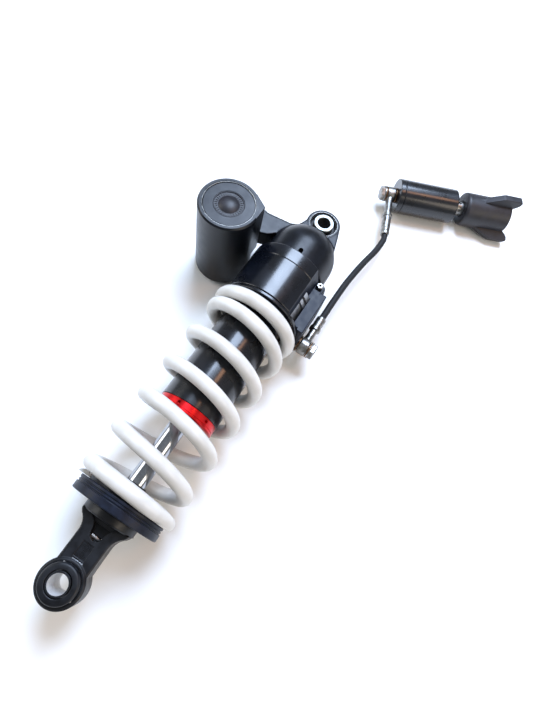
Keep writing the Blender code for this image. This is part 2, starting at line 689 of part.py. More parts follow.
def hydraulic_line():
    neck = Vector((math.cos(REMOTE_NECK_ANGLE), math.sin(REMOTE_NECK_ANGLE), 0))
    first = banjo("shock_banjo", PORT_AT, -Y_AXIS, X_AXIS, (12.0, 20.0, SHOCK_FERRULE_END))
    last = banjo("remote_banjo", REMOTE_AT, -REMOTE_AXIS, neck, (12.0, 30.0, REMOTE_FERRULE_END))
    start = first + X_AXIS * (SHOCK_FERRULE_END + GAP)
    end = last + neck * (REMOTE_FERRULE_END + GAP)
    route = [start, start + X_AXIS * HOSE_STRAIGHT]
    route += [Vector(point) for point in HOSE_ROUTE]
    route += [end + neck * HOSE_STRAIGHT, end]
    wire("hydraulic_hose", spline_points(route, 2.2 * HOSE_R), HOSE_R, 3, "black_rubber")


# Remote preload adjuster.


def remote_body():
    groove = REMOTE_R - 0.7
    turned(
        "remote_body",
        [(REMOTE_R - 0.8, 68), (REMOTE_R, 67.2), (REMOTE_R, 6.4), (groove, 6.0), (groove, 5.4), (REMOTE_R, 5.0)]
        + [(REMOTE_R, 0.5), (REMOTE_R - 0.5, 0), (BANJO_HOLE_R, 0), (BANJO_HOLE_R, 8), (REMOTE_BORE_R, 8)]
        + [(REMOTE_BORE_R, 60), (15.8, 60), (15.8, 68)],
        REMOTE_AT,
        REMOTE_AXIS,
        "gloss_black",
        STEPS_LARGE,
    )
    ring("remote_end_cap", 5.1, 15.5, 60.3, 68.2, REMOTE_AT, REMOTE_AXIS, "aluminium", chamfer=0.5)


def remote_moving_parts():
    """The screwed spindle draws the piston along; notches in the sleeve and a ball give the clicks."""
    at, axis = REMOTE_AT, REMOTE_AXIS
    outer = REMOTE_BORE_R - 0.4
    turned(
        "remote_piston",
        [(0, 26.5), (5.1, 26.5), (5.1, 50), (outer, 50), (outer, 30.6), (12.6, 30.6), (12.6, 27.6)]
        + [(outer, 27.6), (outer, 24), (0, 24)],
        at,
        axis,
        "aluminium",
    )
    ring("remote_piston_seal", 12.9, REMOTE_BORE_R - RUNNING, 27.9, 30.3, at, axis, "black_rubber", STEPS_LARGE)
    turned("remote_spindle", [(0, 92), (4.8, 92), (4.8, 29), (0, 28.2)], at, axis, "zinc_steel", STEPS_SMALL)
    sleeve = ring("detent_sleeve", 5.1, 8.2, 68.5, 86, at, axis, "zinc_steel", STEPS_SMALL)
    for i in range(6):
        turn = Matrix.Rotation(math.radians(60 * i), 4, axis)
        start = at + turn @ Z_AXIS * 7.4
        cut(sleeve, drill(f"detent_notch_{i}", 1.7, start + axis * 74, start + axis * 74 + turn @ Z_AXIS * 4, steps=10))
    ball = [(0, 1.5)] + arc((0, 0), 1.5, 60, -60, 5) + [(0, -1.5)]
    turned("detent_ball", ball, at + axis * 83 + Z_AXIS * 10.1, Z_AXIS, "bearing_steel", STEPS_SMALL)


def adjuster_knob():
    """A round hub with three wings, bored for the spindle and the detent sleeve."""
    at, axis = REMOTE_AT, REMOTE_AXIS
    knob = turned(
        "adjuster_knob",
        [(0, HUB_HIGH - 4), (10, HUB_HIGH - 3), (HUB_R - 2.5, HUB_HIGH), (HUB_R - 1, HUB_HIGH), (HUB_R, HUB_HIGH - 1)]
        + [(HUB_R, HUB_LOW + 12), (HUB_R - 0.4, HUB_LOW + 3), (HUB_R - 3, HUB_LOW), (0, HUB_LOW)],
        at,
        axis,
        "grey_plastic",
        STEPS_MEDIUM,
    )
    for i in range(WING_COUNT):
        knob_wing(knob, i)
    shape = [(0, 95), (5.1, 95), (5.1, 86.4), (8.8, 86.4), (8.8, 70), (0, 70)]
    cut(knob, turned("knob_bore", shape, at, axis, steps=STEPS_SMALL))
    ball_at = at + axis * 83
    cut(knob, drill("knob_ball_hole", 1.8, ball_at + Z_AXIS * 4, ball_at + Z_AXIS * 14, steps=12))


def knob_wing(knob, index):
    angle = WING_PHASE + 2 * math.pi * index / WING_COUNT
    out = Z_AXIS * math.cos(angle) + Z_AXIS.cross(REMOTE_AXIS) * math.sin(angle)
    outline = [(8, HUB_LOW + 20), (HUB_R - 0.5, HUB_LOW + 20), (WING_TIP_R - 1, HUB_LOW + 37)]
    outline += [(WING_TIP_R, HUB_LOW + 39), (WING_TIP_R, WING_HIGH - 3), (WING_TIP_R - 3, WING_HIGH)]
    outline += [(HUB_R + 1, WING_HIGH - 3), (12, HUB_HIGH - 4)]
    wing = plate(f"knob_wing_{index}", outline, -3.3, 3.3)
    axes = Matrix((out, REMOTE_AXIS, out.cross(REMOTE_AXIS))).transposed()
    wing.rotation_quaternion = axes.to_quaternion()
    wing.location = REMOTE_AT * MM
    join(knob, wing)


def bake(obj):
    """Turns the object's modifiers into mesh, with the slivers that Booleans leave cleaned away."""
    bpy.context.view_layer.update()
    graph = bpy.context.evaluated_depsgraph_get()
    mesh = bpy.data.meshes.new_from_object(obj.evaluated_get(graph))
    work = bmesh.new()
    work.from_mesh(mesh)
    bmesh.ops.remove_doubles(work, verts=work.verts, dist=MERGE / 4)
    bmesh.ops.dissolve_limit(work, angle_limit=math.radians(0.3), verts=work.verts, edges=work.edges)
    bmesh.ops.triangulate(work, faces=work.faces)
    work.to_mesh(mesh)
    work.free()
    obj.modifiers.clear()
    obj.data = mesh


def shade_round(collection):
    """Bakes each part's modifiers and shades it smooth with its corners sharp."""
    for obj in [obj for obj in collection.objects if obj.type == "MESH"]:
        bake(obj)
        obj.data.shade_smooth()
        obj.data.set_sharp_from_angle(angle=math.radians(35))


def build():
    head_casting()
    reservoir_parts()
    damper_body_parts()
    piston_rod()
    piston_parts()
    bump_stop()
    lower_spring_seat()
    lower_clevis()
    rebound_adjuster()
    coil_spring()
    preload_cylinder()
    preload_piston_parts()
    upper_eye_parts()
    lower_eye_parts()
    hydraulic_line()
    remote_body()
    remote_moving_parts()
    adjuster_knob()
    shade_round(PARTS)


clear_scene()
PARTS = new_collection("motorcycle_rear_shock")
CUTTERS = new_collection("cutters", hidden=True)
FRAME = new_frame()
build()
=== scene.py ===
"""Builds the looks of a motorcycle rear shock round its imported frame.

The shock lies on its side: X runs from the lower eye to the upper eye, both eye bores are parallel to Z,
and the reservoir is on the +Y side. Lengths are in millimetres from the lower eye's centre unless a name
says otherwise, and MM turns them into metres.
"""

import json
import math

import bpy
from mathutils import Matrix, Vector


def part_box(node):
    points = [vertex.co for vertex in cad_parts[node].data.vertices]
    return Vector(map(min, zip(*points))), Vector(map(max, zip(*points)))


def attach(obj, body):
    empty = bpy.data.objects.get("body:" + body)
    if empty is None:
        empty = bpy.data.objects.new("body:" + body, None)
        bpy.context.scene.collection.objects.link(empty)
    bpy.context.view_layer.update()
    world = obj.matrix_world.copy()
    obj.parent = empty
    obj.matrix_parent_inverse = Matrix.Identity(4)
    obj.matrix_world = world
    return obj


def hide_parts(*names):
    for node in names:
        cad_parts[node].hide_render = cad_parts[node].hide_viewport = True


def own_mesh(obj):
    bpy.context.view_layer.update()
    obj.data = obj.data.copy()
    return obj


bl_info = {
    "name": "Rear Shock Builder",
    "version": (1, 0, 0),
    "blender": (4, 5, 0),
    "location": "3D View > Sidebar > Shock",
    "description": "Builds the looks of a motorcycle rear shock round its frame",
    "category": "Add Mesh",
}

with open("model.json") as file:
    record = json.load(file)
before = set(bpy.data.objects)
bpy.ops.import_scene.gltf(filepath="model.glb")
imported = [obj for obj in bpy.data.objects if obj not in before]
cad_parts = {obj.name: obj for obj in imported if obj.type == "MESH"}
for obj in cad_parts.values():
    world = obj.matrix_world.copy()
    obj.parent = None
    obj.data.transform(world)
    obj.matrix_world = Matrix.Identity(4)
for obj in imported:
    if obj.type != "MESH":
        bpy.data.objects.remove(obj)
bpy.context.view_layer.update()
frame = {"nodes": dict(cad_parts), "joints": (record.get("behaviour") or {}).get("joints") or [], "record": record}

MM = 0.001
MERGE = 1e-6
SLIVER = 4e-5
STEPS_LARGE, STEPS_SMALL = 96, 48
ORIGIN = Vector((0, 0, 0))
X_AXIS, Y_AXIS, Z_AXIS = Vector((1, 0, 0)), Vector((0, 1, 0)), Vector((0, 0, 1))


def middle(node):
    """The centre of a CAD node's box, in metres."""
    low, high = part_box(node)
    return (low + high) / 2


LOWER_EYE = Vector((middle("lower_sleeve_near").x, middle("damper_tube").y, middle("damper_tube").z))
UPPER_EYE = (middle("upper_bearing_ball") - LOWER_EYE) / MM
RESERVOIR = (middle("reservoir_cap") - LOWER_EYE) / MM
RESERVOIR.z = 0  # heights on the reservoir are taken from the eyes' level
KNOB_JOINT = next(joint for joint in frame["joints"] if joint["name"] == "preload_knob")
REMOTE_AT = (Vector(KNOB_JOINT["pos_m"]) - LOWER_EYE) / MM
REMOTE_AXIS = Vector(KNOB_JOINT["axis"]).normalized()
PORT_AT = Vector((268.0, -43.0, -17.0))
REMOTE_NECK = Vector((math.cos(math.radians(200)), math.sin(math.radians(200)), 0))

# Spring, from the lower eye: its ground ends, its turns and the pitch of closed and open turns.
SPRING_LOW, SPRING_HIGH = 66.8, 261.7
SPRING_TURNS = 7.45
FIRST_TURN_AT, CLOSED_PITCH, OPEN_PITCH, OPEN_TURNS = 64.0, 13.5, 19.9, 4.92

FLOOR_SIZE = 12.0
CAMERA_AT = (-0.21235, -0.0204, 0.4424)
CAMERA_RIGHT, CAMERA_UP = Vector((0.5266, -0.8371, 0.1486)), Vector((0.7605, 0.5419, 0.3579))
CAMERA_BACK = Vector((-0.3801, -0.0755, 0.9219))


# Materials.


def linear(code):
    """A colour as linear RGBA, from its sRGB hex code."""
    parts = [int(code[i : i + 2], 16) / 255 for i in (1, 3, 5)]
    return (*[p / 12.92 if p <= 0.04045 else ((p + 0.055) / 1.055) ** 2.4 for p in parts], 1.0)


def add(tree, kind, links=None, **settings):
    """Adds a node. Links maps an input's name or number to a value or to another node's output."""
    node = tree.nodes.new(kind)
    for key, value in settings.items():
        setattr(node, key, value)
    for key, value in (links or {}).items():
        if isinstance(value, bpy.types.NodeSocket):
            tree.links.new(value, node.inputs[key])
        else:
            node.inputs[key].default_value = value
    return node


def surface(name, values=None):
    """A new material whose Principled shader takes the values, and the object's coordinates."""
    made = bpy.data.materials.new(name)
    made.use_nodes = True
    tree = made.node_tree
    shader = tree.nodes["Principled BSDF"]
    for key, value in (values or {}).items():
        shader.inputs[key].default_value = value
    place = add(tree, "ShaderNodeTexCoord").outputs["Object"]
    return made, tree, shader, place


def per_metre(size_mm):
    """A texture's scale for features of this size."""
    return 1000.0 / size_mm


def vary(tree, shader, place, tones, roughness, size_mm):
    """Cloudy change of tone and of roughness over patches of this size."""
    cloud = add(tree, "ShaderNodeTexNoise", {"Vector": place, "Scale": per_metre(size_mm), "Detail": 5.0})
    ramp = add(tree, "ShaderNodeValToRGB", {"Fac": cloud.outputs["Fac"]})
    ramp.color_ramp.elements[0].position, ramp.color_ramp.elements[1].position = 0.32, 0.68
    ramp.color_ramp.elements[0].color, ramp.color_ramp.elements[1].color = tones
    tree.links.new(ramp.outputs["Color"], shader.inputs["Base Color"])
    spread = add(
        tree,
        "ShaderNodeMapRange",
        {
            "Value": cloud.outputs["Fac"],
            "From Min": 0.3,
            "From Max": 0.7,
            "To Min": roughness[0],
            "To Max": roughness[1],
        },
    )
    tree.links.new(spread.outputs["Result"], shader.inputs["Roughness"])
    return cloud


def grain(tree, shader, place, size_mm, depth_mm, detail=2.0):
    """Fine bumps, such as cast grain, orange peel or moulded texture."""
    fine = add(tree, "ShaderNodeTexNoise", {"Vector": place, "Scale": per_metre(size_mm), "Detail": detail})
    bump = add(
        tree, "ShaderNodeBump", {"Height": fine.outputs["Fac"], "Strength": 1.0, "Distance": depth_mm * MM}
    )
    tree.links.new(bump.outputs["Normal"], shader.inputs["Normal"])
    return bump


def lathe_lines(tree, shader, place, axis, pitch_mm, depth_mm):
    """Fine rings round the turning axis. Their real pitch of 0.1 mm is drawn coarser so that it shows."""
    along = add(tree, "ShaderNodeVectorMath", {0: place, 1: tuple(axis)}, operation="DOT_PRODUCT")
    rings = add(
        tree,
        "ShaderNodeTexNoise",
        {"W": along.outputs["Value"], "Scale": per_metre(pitch_mm), "Detail": 3.0},
        noise_dimensions="1D",
    )
    bump = add(
        tree, "ShaderNodeBump", {"Height": rings.outputs["Fac"], "Strength": 1.0, "Distance": depth_mm * MM}
    )
    tree.links.new(bump.outputs["Normal"], shader.inputs["Normal"])


def chosen(name):
    """A colour and its shade from the add-on's settings, darker one first."""
    colours = bpy.context.scene.shock_finishes
    return tuple(getattr(colours, name + "_shade")), tuple(getattr(colours, name + "_colour"))


def anodised_gloss(name, axis):
    """Turned aluminium, sealed black anodising: deep black with sharp streaks of light and faint rings."""
    gloss = {"Specular IOR Level": 0.35, "Coat Weight": 0.45, "Coat Roughness": 0.14}
    made, tree, shader, place = surface(name, gloss)
    vary(tree, shader, place, (linear("#04060b"), linear("#090d16")), (0.24, 0.34), 14)
    lathe_lines(tree, shader, place, axis, 0.5, 0.0012)
    return made


def anodised_satin(name, axis=None):
    """Cast or machined aluminium, bead blasted and anodised black: soft highlights over a fine grain."""
    made, tree, shader, place = surface(name, {"Specular IOR Level": 0.3})
    vary(tree, shader, place, (linear("#05070c"), linear("#0b0f17")), (0.3, 0.4), 9)
    if axis:
        lathe_lines(tree, shader, place, axis, 0.6, 0.0015)
    else:
        grain(tree, shader, place, 0.5, 0.012)
    return made


def anodised_flat(name, axis=None):
    """Milled aluminium, dull black anodising: blue-black with very weak highlights and cutter lines."""
    made, tree, shader, place = surface(name, {"Specular IOR Level": 0.22})
    vary(tree, shader, place, (linear("#070b16"), linear("#101828")), (0.36, 0.48), 5)
    if axis:
        lathe_lines(tree, shader, place, axis, 0.8, 0.002)
    else:
        grain(tree, shader, place, 0.5, 0.012)
    return made


def forged_black(name):
    """Forged aluminium link, coated black: nearly dielectric, with small dark pores."""
    made, tree, shader, place = surface(name, {"Specular IOR Level": 0.35})
    vary(tree, shader, place, (linear("#06070b"), linear("#0f1218")), (0.32, 0.5), 6)
    grain(tree, shader, place, 0.7, 0.02, 4.0)
    return made


def moulded_grey(name):
    """Glass-filled nylon, moulded: matte dark grey with a spark-eroded texture and paler scuffs."""
    made, tree, shader, place = surface(name)
    vary(tree, shader, place, chosen("knob"), (0.42, 0.54), 7)
    grain(tree, shader, place, 0.35, 0.02)
    return made


def powder_coat(name):
    """Powder-coated spring wire: off-white and even, with slight orange peel and a little grime."""
    made, tree, shader, place = surface(name, {"Coat Weight": 0.15, "Coat Roughness": 0.2})
    vary(tree, shader, place, chosen("spring"), (0.3, 0.42), 22)
    grain(tree, shader, place, 1.6, 0.012)
    return made


def hard_chrome(name):
    """Ground and polished chrome on the rod: a mirror with hairlines round it."""
    made, tree, shader, place = surface(name, {"Metallic": 1.0})
    vary(tree, shader, place, (linear("#9a9da3"), linear("#b4b7bc")), (0.06, 0.14), 10)
    lathe_lines(tree, shader, place, X_AXIS, 0.3, 0.0004)
    return made


def red_anodised(name):
    """Dyed anodising over bright turned aluminium: the metal shines through the red."""
    made, tree, shader, place = surface(name, {"Metallic": 0.9, "Coat Weight": 0.3, "Coat Roughness": 0.15})
    vary(tree, shader, place, chosen("cap"), (0.26, 0.34), 12)
    lathe_lines(tree, shader, place, X_AXIS, 0.8, 0.0006)
    return made


def plated_steel(name, tones=("#6d6a64", "#a3a29f"), roughness=(0.28, 0.44)):
    """Zinc plate, copper or bare aluminium dulled by use: cloudy, with stains and pits."""
    made, tree, shader, place = surface(name, {"Metallic": 1.0})
    vary(tree, shader, place, tuple(linear(tone) for tone in tones), roughness, 3)
    grain(tree, shader, place, 0.6, 0.015, 4.0)
    return made


def ground_steel(name, tones=("#aeb0b3", "#c8cacc"), roughness=(0.16, 0.28), metallic=1.0):
    """Ground bearing steel: bright with fine rings."""
    made, tree, shader, place = surface(name, {"Metallic": metallic})
    vary(tree, shader, place, tuple(linear(tone) for tone in tones), roughness, 4)
    lathe_lines(tree, shader, place, Z_AXIS, 0.3, 0.001)
    return made


def dull(name, tones=("#101012", "#1b1b1d"), roughness=(0.55, 0.75), grain_mm=0.4, specular=0.35):
    """Rubber, foam, bearing liner or phosphated steel: a weak sheen over fine grain. It also makes the near-black
    painted shadow in the head's slot.
    """
    made, tree, shader, place = surface(name, {"Specular IOR Level": specular})
    vary(tree, shader, place, tuple(linear(tone) for tone in tones), roughness, 5)
    grain(tree, shader, place, grain_mm, 0.02)
    return made


FINISHES = {
    "gloss_black": lambda: anodised_gloss("black_anodised_aluminium", X_AXIS),
    "gloss_black_remote": lambda: anodised_gloss("black_anodised_aluminium_remote", REMOTE_AXIS),
    "satin_black": lambda: anodised_satin("satin_anodised_casting"),
    "satin_black_turned": lambda: anodised_satin("satin_anodised_turned", X_AXIS),
    "satin_black_upright": lambda: anodised_satin("satin_anodised_upright", Z_AXIS),
    "milled_black": lambda: anodised_flat("dull_anodised_block", X_AXIS),
    "seat_black": lambda: anodised_flat("dull_anodised_seat"),
    "forged_black": lambda: forged_black("coated_forging"),
    "grey_plastic": lambda: moulded_grey("moulded_nylon"),
    "white_paint": lambda: powder_coat("powder_coated_wire"),
    "hard_chrome": lambda: hard_chrome("hard_chrome"),
    "red_anodised": lambda: red_anodised("red_anodised_aluminium"),
    "zinc_steel": lambda: plated_steel("zinc_plated_steel"),
    "bright_steel": lambda: ground_steel("bright_ground_steel", ("#737775", "#989c99"), (0.3, 0.42)),
    # The lower sleeves' bore: partly the steel's own bright colour, partly painted light, pale and half matte so
    # that it stays bright in shade.
    "bore_steel_with_painted_light": lambda: ground_steel("honed_sleeve_bore", ("#cfd1d3", "#e6e7e8"), (0.38, 0.5), 0.35),
    "bearing_steel": lambda: ground_steel("ground_bearing_steel"),
    "phosphated_steel": lambda: dull("phosphated_steel", ("#0d0d0f", "#19191b"), (0.4, 0.55), 0.6),
    "copper": lambda: plated_steel("oxidised_copper_washer", ("#4f3b2c", "#7d6148"), (0.36, 0.5)),
    "aluminium": lambda: plated_steel("machined_aluminium", ("#a4a6a9", "#bdbfc2"), (0.28, 0.38)),
    "black_rubber": lambda: dull("black_rubber"),
    # Painted shadow: near-black with almost no sheen, for the block that darkens the head's slot.
    "slot_shadow": lambda: dull("soot_black_seal", ("#040405", "#0a0a0c"), (0.8, 0.95), 0.4, 0.03),
    "bump_foam": lambda: dull("closed_cell_foam", ("#1d1d1e", "#2b2b2c"), (0.8, 0.95), 0.9),
    "ptfe": lambda: dull("bronze_filled_ptfe", ("#5c4a30", "#75603f"), (0.4, 0.5), 0.3),
}
MADE = {}


def finish_of(key):
    if key not in MADE:
        MADE[key] = FINISHES[key]()
    return MADE[key]


# Modelling, as by hand: an edge chain is extruded, then spun or pulled up, cut, bevelled and settled.


def only(piece):
    """Selects this piece alone and makes it active."""
    bpy.ops.object.select_all(action="DESELECT")
    piece.select_set(True)
    bpy.context.view_layer.objects.active = piece


def sketch(name, points):
    """A chain of edges: one vertex, extruded from point to point. It stays in edit mode."""
    bpy.ops.object.select_all(action="DESELECT")
    bpy.ops.mesh.primitive_plane_add(size=MM)
    piece = bpy.context.object
    piece.name = piece.data.name = name
    bpy.ops.object.mode_set(mode="EDIT")
    bpy.ops.mesh.select_all(action="SELECT")
    bpy.ops.mesh.merge(type="CENTER")
    bpy.ops.transform.translate(value=Vector(points[0]) * MM)
    for here, there in zip(points, points[1:]):
        step = (Vector(there) - Vector(here)) * MM
        bpy.ops.mesh.extrude_vertices_move(TRANSFORM_OT_translate={"value": step})
    bpy.ops.mesh.select_all(action="SELECT")
    bpy.ops.mesh.remove_doubles(threshold=MERGE)
    return piece


def settle(piece, at, axis, spin=0.0):
    """Closes the mesh, turns its Z to the axis and applies its place."""
    bpy.ops.mesh.select_all(action="SELECT")
    bpy.ops.mesh.remove_doubles(threshold=MERGE)
    bpy.ops.mesh.normals_make_consistent(inside=False)
    bpy.ops.object.mode_set(mode="OBJECT")
    only(piece)
    turn = Z_AXIS.rotation_difference(Vector(axis)).to_matrix().to_4x4()
    piece.matrix_world = Matrix.Translation(LOWER_EYE + Vector(at) * MM) @ turn @ Matrix.Rotation(
        spin, 4, "Z"
    )
    bpy.ops.object.transform_apply(location=True, rotation=True, scale=True)
    return piece


def turned(name, profile, at=ORIGIN, axis=Z_AXIS, steps=STEPS_LARGE, spin=0.0):
    """A body of revolution from (radius, height) pairs. A solid's profile starts and ends on the axis."""
    points = [(radius, 0, height) for radius, height in profile]
    if profile[0][0] > 0:
        points.append(points[0])
    piece = sketch(name, points)
    bpy.ops.mesh.spin(steps=steps, angle=2 * math.pi, center=(0, 0, 0), axis=(0, 0, 1))
    return settle(piece, at, axis, spin)


def plate(name, outline, low, high, at=ORIGIN, axis=Z_AXIS, spin=0.0):
    """An outline filled and pulled from low to high."""
    points = [(x, y, low) for x, y in outline]
    piece = sketch(name, points + points[:1])
    bpy.ops.mesh.edge_face_add()
    bpy.ops.mesh.extrude_region_move(TRANSFORM_OT_translate={"value": (0, 0, (high - low) * MM)})
    return settle(piece, at, axis, spin)


def block(name, low, high):
    (x0, y0, z0), (x1, y1, z1) = low, high
    return plate(name, [(x0, y0), (x1, y0), (x1, y1), (x0, y1)], z0, z1)


def pin(name, radius, start, end, steps=24):
    start, end = Vector(start), Vector(end)
    profile = [(0, (end - start).length), (radius, (end - start).length), (radius, 0), (0, 0)]
    return turned(name, profile, start, (end - start).normalized(), steps)


def arc(centre, radius, first, last, count):
    """Points on an arc, with angles in degrees."""
    angles = [math.radians(first + (last - first) * i / (count - 1)) for i in range(count)]
    return [(centre[0] + radius * math.cos(a), centre[1] + radius * math.sin(a)) for a in angles]


def modify(piece, kind, **settings):
    """Adds a modifier and applies it."""
    only(piece)
    step = piece.modifiers.new(kind.title(), kind)
    for key, value in settings.items():
        setattr(step, key, value)
    bpy.ops.object.modifier_apply(modifier=step.name)
    return piece


def combine(piece, operation, *tools):
    """Joins the tools to the piece or cuts them from it, and removes them."""
    for tool in tools:
        modify(piece, "BOOLEAN", operation=operation, solver="EXACT", object=tool)
        bpy.data.objects.remove(tool)
    return piece


def join(piece, *tools):
    return combine(piece, "UNION", *tools)


def cut(piece, *tools):
    return combine(piece, "DIFFERENCE", *tools)


def clean(piece):
    """Merges the slivers that Booleans leave and dissolves the edges inside flat faces."""
    only(piece)
    bpy.ops.object.mode_set(mode="EDIT")
    bpy.ops.mesh.select_all(action="SELECT")
    bpy.ops.mesh.remove_doubles(threshold=SLIVER)
    bpy.ops.mesh.dissolve_limited(angle_limit=math.radians(0.4))
    bpy.ops.object.mode_set(mode="OBJECT")
    return piece


def soften(piece, width, segments=3, angle=30, clamp=True):
    """Rounds the edges sharper than the angle."""
    return modify(
        piece,
        "BEVEL",
        width=width * MM,
        segments=segments,
        limit_method="ANGLE",
        angle_limit=math.radians(angle),
        use_clamp_overlap=clamp,
    )


def dress(piece, body, slot, finish=None, nodes=()):
    """Shades the piece, gives it its finish and body, and lets it stand for its CAD nodes."""
    only(piece)
    bpy.ops.object.shade_smooth_by_angle(angle=math.radians(35))
    modify(piece, "WEIGHTED_NORMAL", keep_sharp=True, weight=60)
    piece.data.materials.clear()
    piece.data.materials.append(finish_of(finish or slot))
    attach(piece, body)
    if nodes:
        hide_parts(*nodes)
    return piece


def lathe_piece(name, profile, at, axis, body, slot, finish=None, nodes=(), steps=STEPS_LARGE, edge=0.3):
    """A plain turned piece with softened rims."""
    piece = turned(name, profile, at, axis, steps)
    if edge:
        soften(piece, edge)
    return dress(piece, body, slot, finish, nodes)


def ring(bore, outer, low, high):
    return [(outer, high), (outer, low), (bore, low), (bore, high)]


# Pieces of the damper body.


def build_head(shapes):
    """Dome, lug and web are one casting, remeshed so that its corners get cast fillets."""
    shoulder = arc((338.0, 0), 33.1, 0, 90, 24)
    outer = [(radius, x) for x, radius in shoulder]
    outer[0] = (0, 371.1)
    cast = turned("head_casting_shell", outer + [(33.1, 319.6), (32.7, 319.2), (0, 319.2)], axis=X_AXIS)
    lug = plate(
        "lug",
        [
            (385, 15.4),
            (376, 16.4),
            (367, 19.4),
            (352, 27),
            (325, 26),
            (325, -26),
            (354, -26),
            (377, -19.2),
            (387, -15.6),
        ],
        -10.6,
        10.6,
    )
    boss = turned("boss", [(0, 10.8), (17.2, 10.8), (17.2, -10.8), (0, -10.8)], UPPER_EYE)
    far_edge = arc((340, 56), 18.5, 55, -15, 12)
    near_edge = [(345, 10), (343, 32), (335.5, 39), (333, 46), (322, 56), (316, 72), (330, 80)]
    web = plate("web", near_edge + far_edge + [(360, 36), (361.5, 27), (367, 18), (368, 5)], -9.6, 9.9)
    join(cast, lug, boss, web)
    modify(cast, "REMESH", mode="VOXEL", voxel_size=shapes.cast_grid)
    modify(cast, "SMOOTH", factor=0.5, iterations=shapes.cast_rounding)
    can_room = turned("can_room", [(0, 70), (27.0, 70), (27.0, -60), (0, -60)], RESERVOIR)
    spot_face = turned("spot_face", [(0, 30), (16.2, 30), (16.2, -30), (0, -30)], UPPER_EYE)
    socket = turned(
        "socket", [(0, 348), (20, 348), (20, 332), (27.2, 332), (27.2, 300), (0, 300)], axis=X_AXIS
    )
    slot = plate("slot", [(316, -2.8)] + arc((324.6, -0.7), 2.1, -90, 90, 12) + [(316, 1.4)], 27, 40)
    cut(cast, can_room, spot_face, socket, slot)
    dress(cast, "damper_body", "satin_black", "satin_black", ["head_casting"])
    # A near-black block at the bottom of the head's slot: painted shadow, standing in for the shade in the slot.
    seal = soften(block("head_slot_seal", (319.5, -2.6, 27.3), (326.2, 1.2, 30.4)), 0.2, 2)
    dress(seal, "damper_body", "black_rubber", "slot_shadow")
    eye = turned(
        "head_eye_ring",
        [(16.0, 11), (17.0, 10.4), (17.0, -10.4), (16.0, -11), (14.4, -11), (14.4, 11)],
        UPPER_EYE,
    )
    dress(soften(eye, 0.25), "damper_body", "satin_black", "satin_black_upright")
    for side, sign in (("near", 1), ("far", -1)):
        profile = ring(13.95, 14.4, 9.8, 11.1)
        clip = turned(f"upper_eye_clip_{side}", profile, UPPER_EYE, Z_AXIS * sign)
        dress(soften(clip, 0.1), "damper_body", "zinc_steel")


def build_reservoir(shapes):
    """The can with its flat-topped corner, the lid, its wire ring and the domed plug."""
    foot = arc((21, -37), 7, 0, -90, 12)
    body = turned("reservoir_can", [(0, 52), (26.6, 52), (28, 50.6)] + foot + [(0, -44)], RESERVOIR)
    out = Vector((329.5 - RESERVOIR.x, 44.4 - RESERVOIR.y))
    towards = math.degrees(math.atan2(out.y, out.x))
    half = math.degrees(math.acos(28.0 / out.length))
    near, far = arc((RESERVOIR.x, RESERVOIR.y), 27.95, towards - half, towards + half, 2)
    corner = plate("corner", [(RESERVOIR.x, RESERVOIR.y), near, (329.5, 44.4), far], -9, 51.9)
    join(body, soften(corner, 0.6))
    cavity = turned("cavity", [(0, 60), (24.3, 60), (24.3, 44), (22.3, 44), (22.3, -38), (0, -38)], RESERVOIR)
    cut(body, cavity)
    dress(soften(body, 0.35, 2), "damper_body", "satin_black", "satin_black")
    lid = [(22.9, 51.0), (23.5, 50.5), (23.5, 44.5), (14.0, 44.5), (14.0, 50.8), (14.2, 51.0)]
    lathe_piece(
        "reservoir_lid",
        lid,
        RESERVOIR,
        Z_AXIS,
        "damper_body",
        "satin_black",
        "satin_black",
        ["reservoir_cap"],
    )
    wire = [
        (23.8 + 0.3 * math.cos(a), 51.25 + 0.3 * math.sin(a))
        for a in [2 * math.pi * i / 10 for i in range(10)]
    ]
    lathe_piece(
        "lid_wire_ring", wire, RESERVOIR, Z_AXIS, "damper_body", "zinc_steel", None, ["cap_snap_ring"], edge=0
    )
    dome = [(radius, height) for radius, height in arc((0, 36.6), 16.0, 90, 54, 10)]
    dome[0] = (0, 52.6)
    plug = turned(
        "lid_plug",
        dome + [(9.7, 49.9), (13.2, 49.9), (13.2, 50.9), (13.9, 50.9), (13.9, 47), (0, 47)],
        RESERVOIR,
    )
    soften(plug, 0.2, 2)
    ribs = 32
    for i in range(ribs):
        spin = 2 * math.pi * i / ribs
        rib = plate(
            f"plug_rib_{i}",
            [(10.3, -0.25), (12.6, -0.35), (12.6, 0.35), (10.3, 0.25)],
            49.6,
            50.5,
            RESERVOIR,
            spin=spin,
        )
        join(plug, rib)
    dress(plug, "damper_body", "grey_plastic", None, ["cap_plug"])


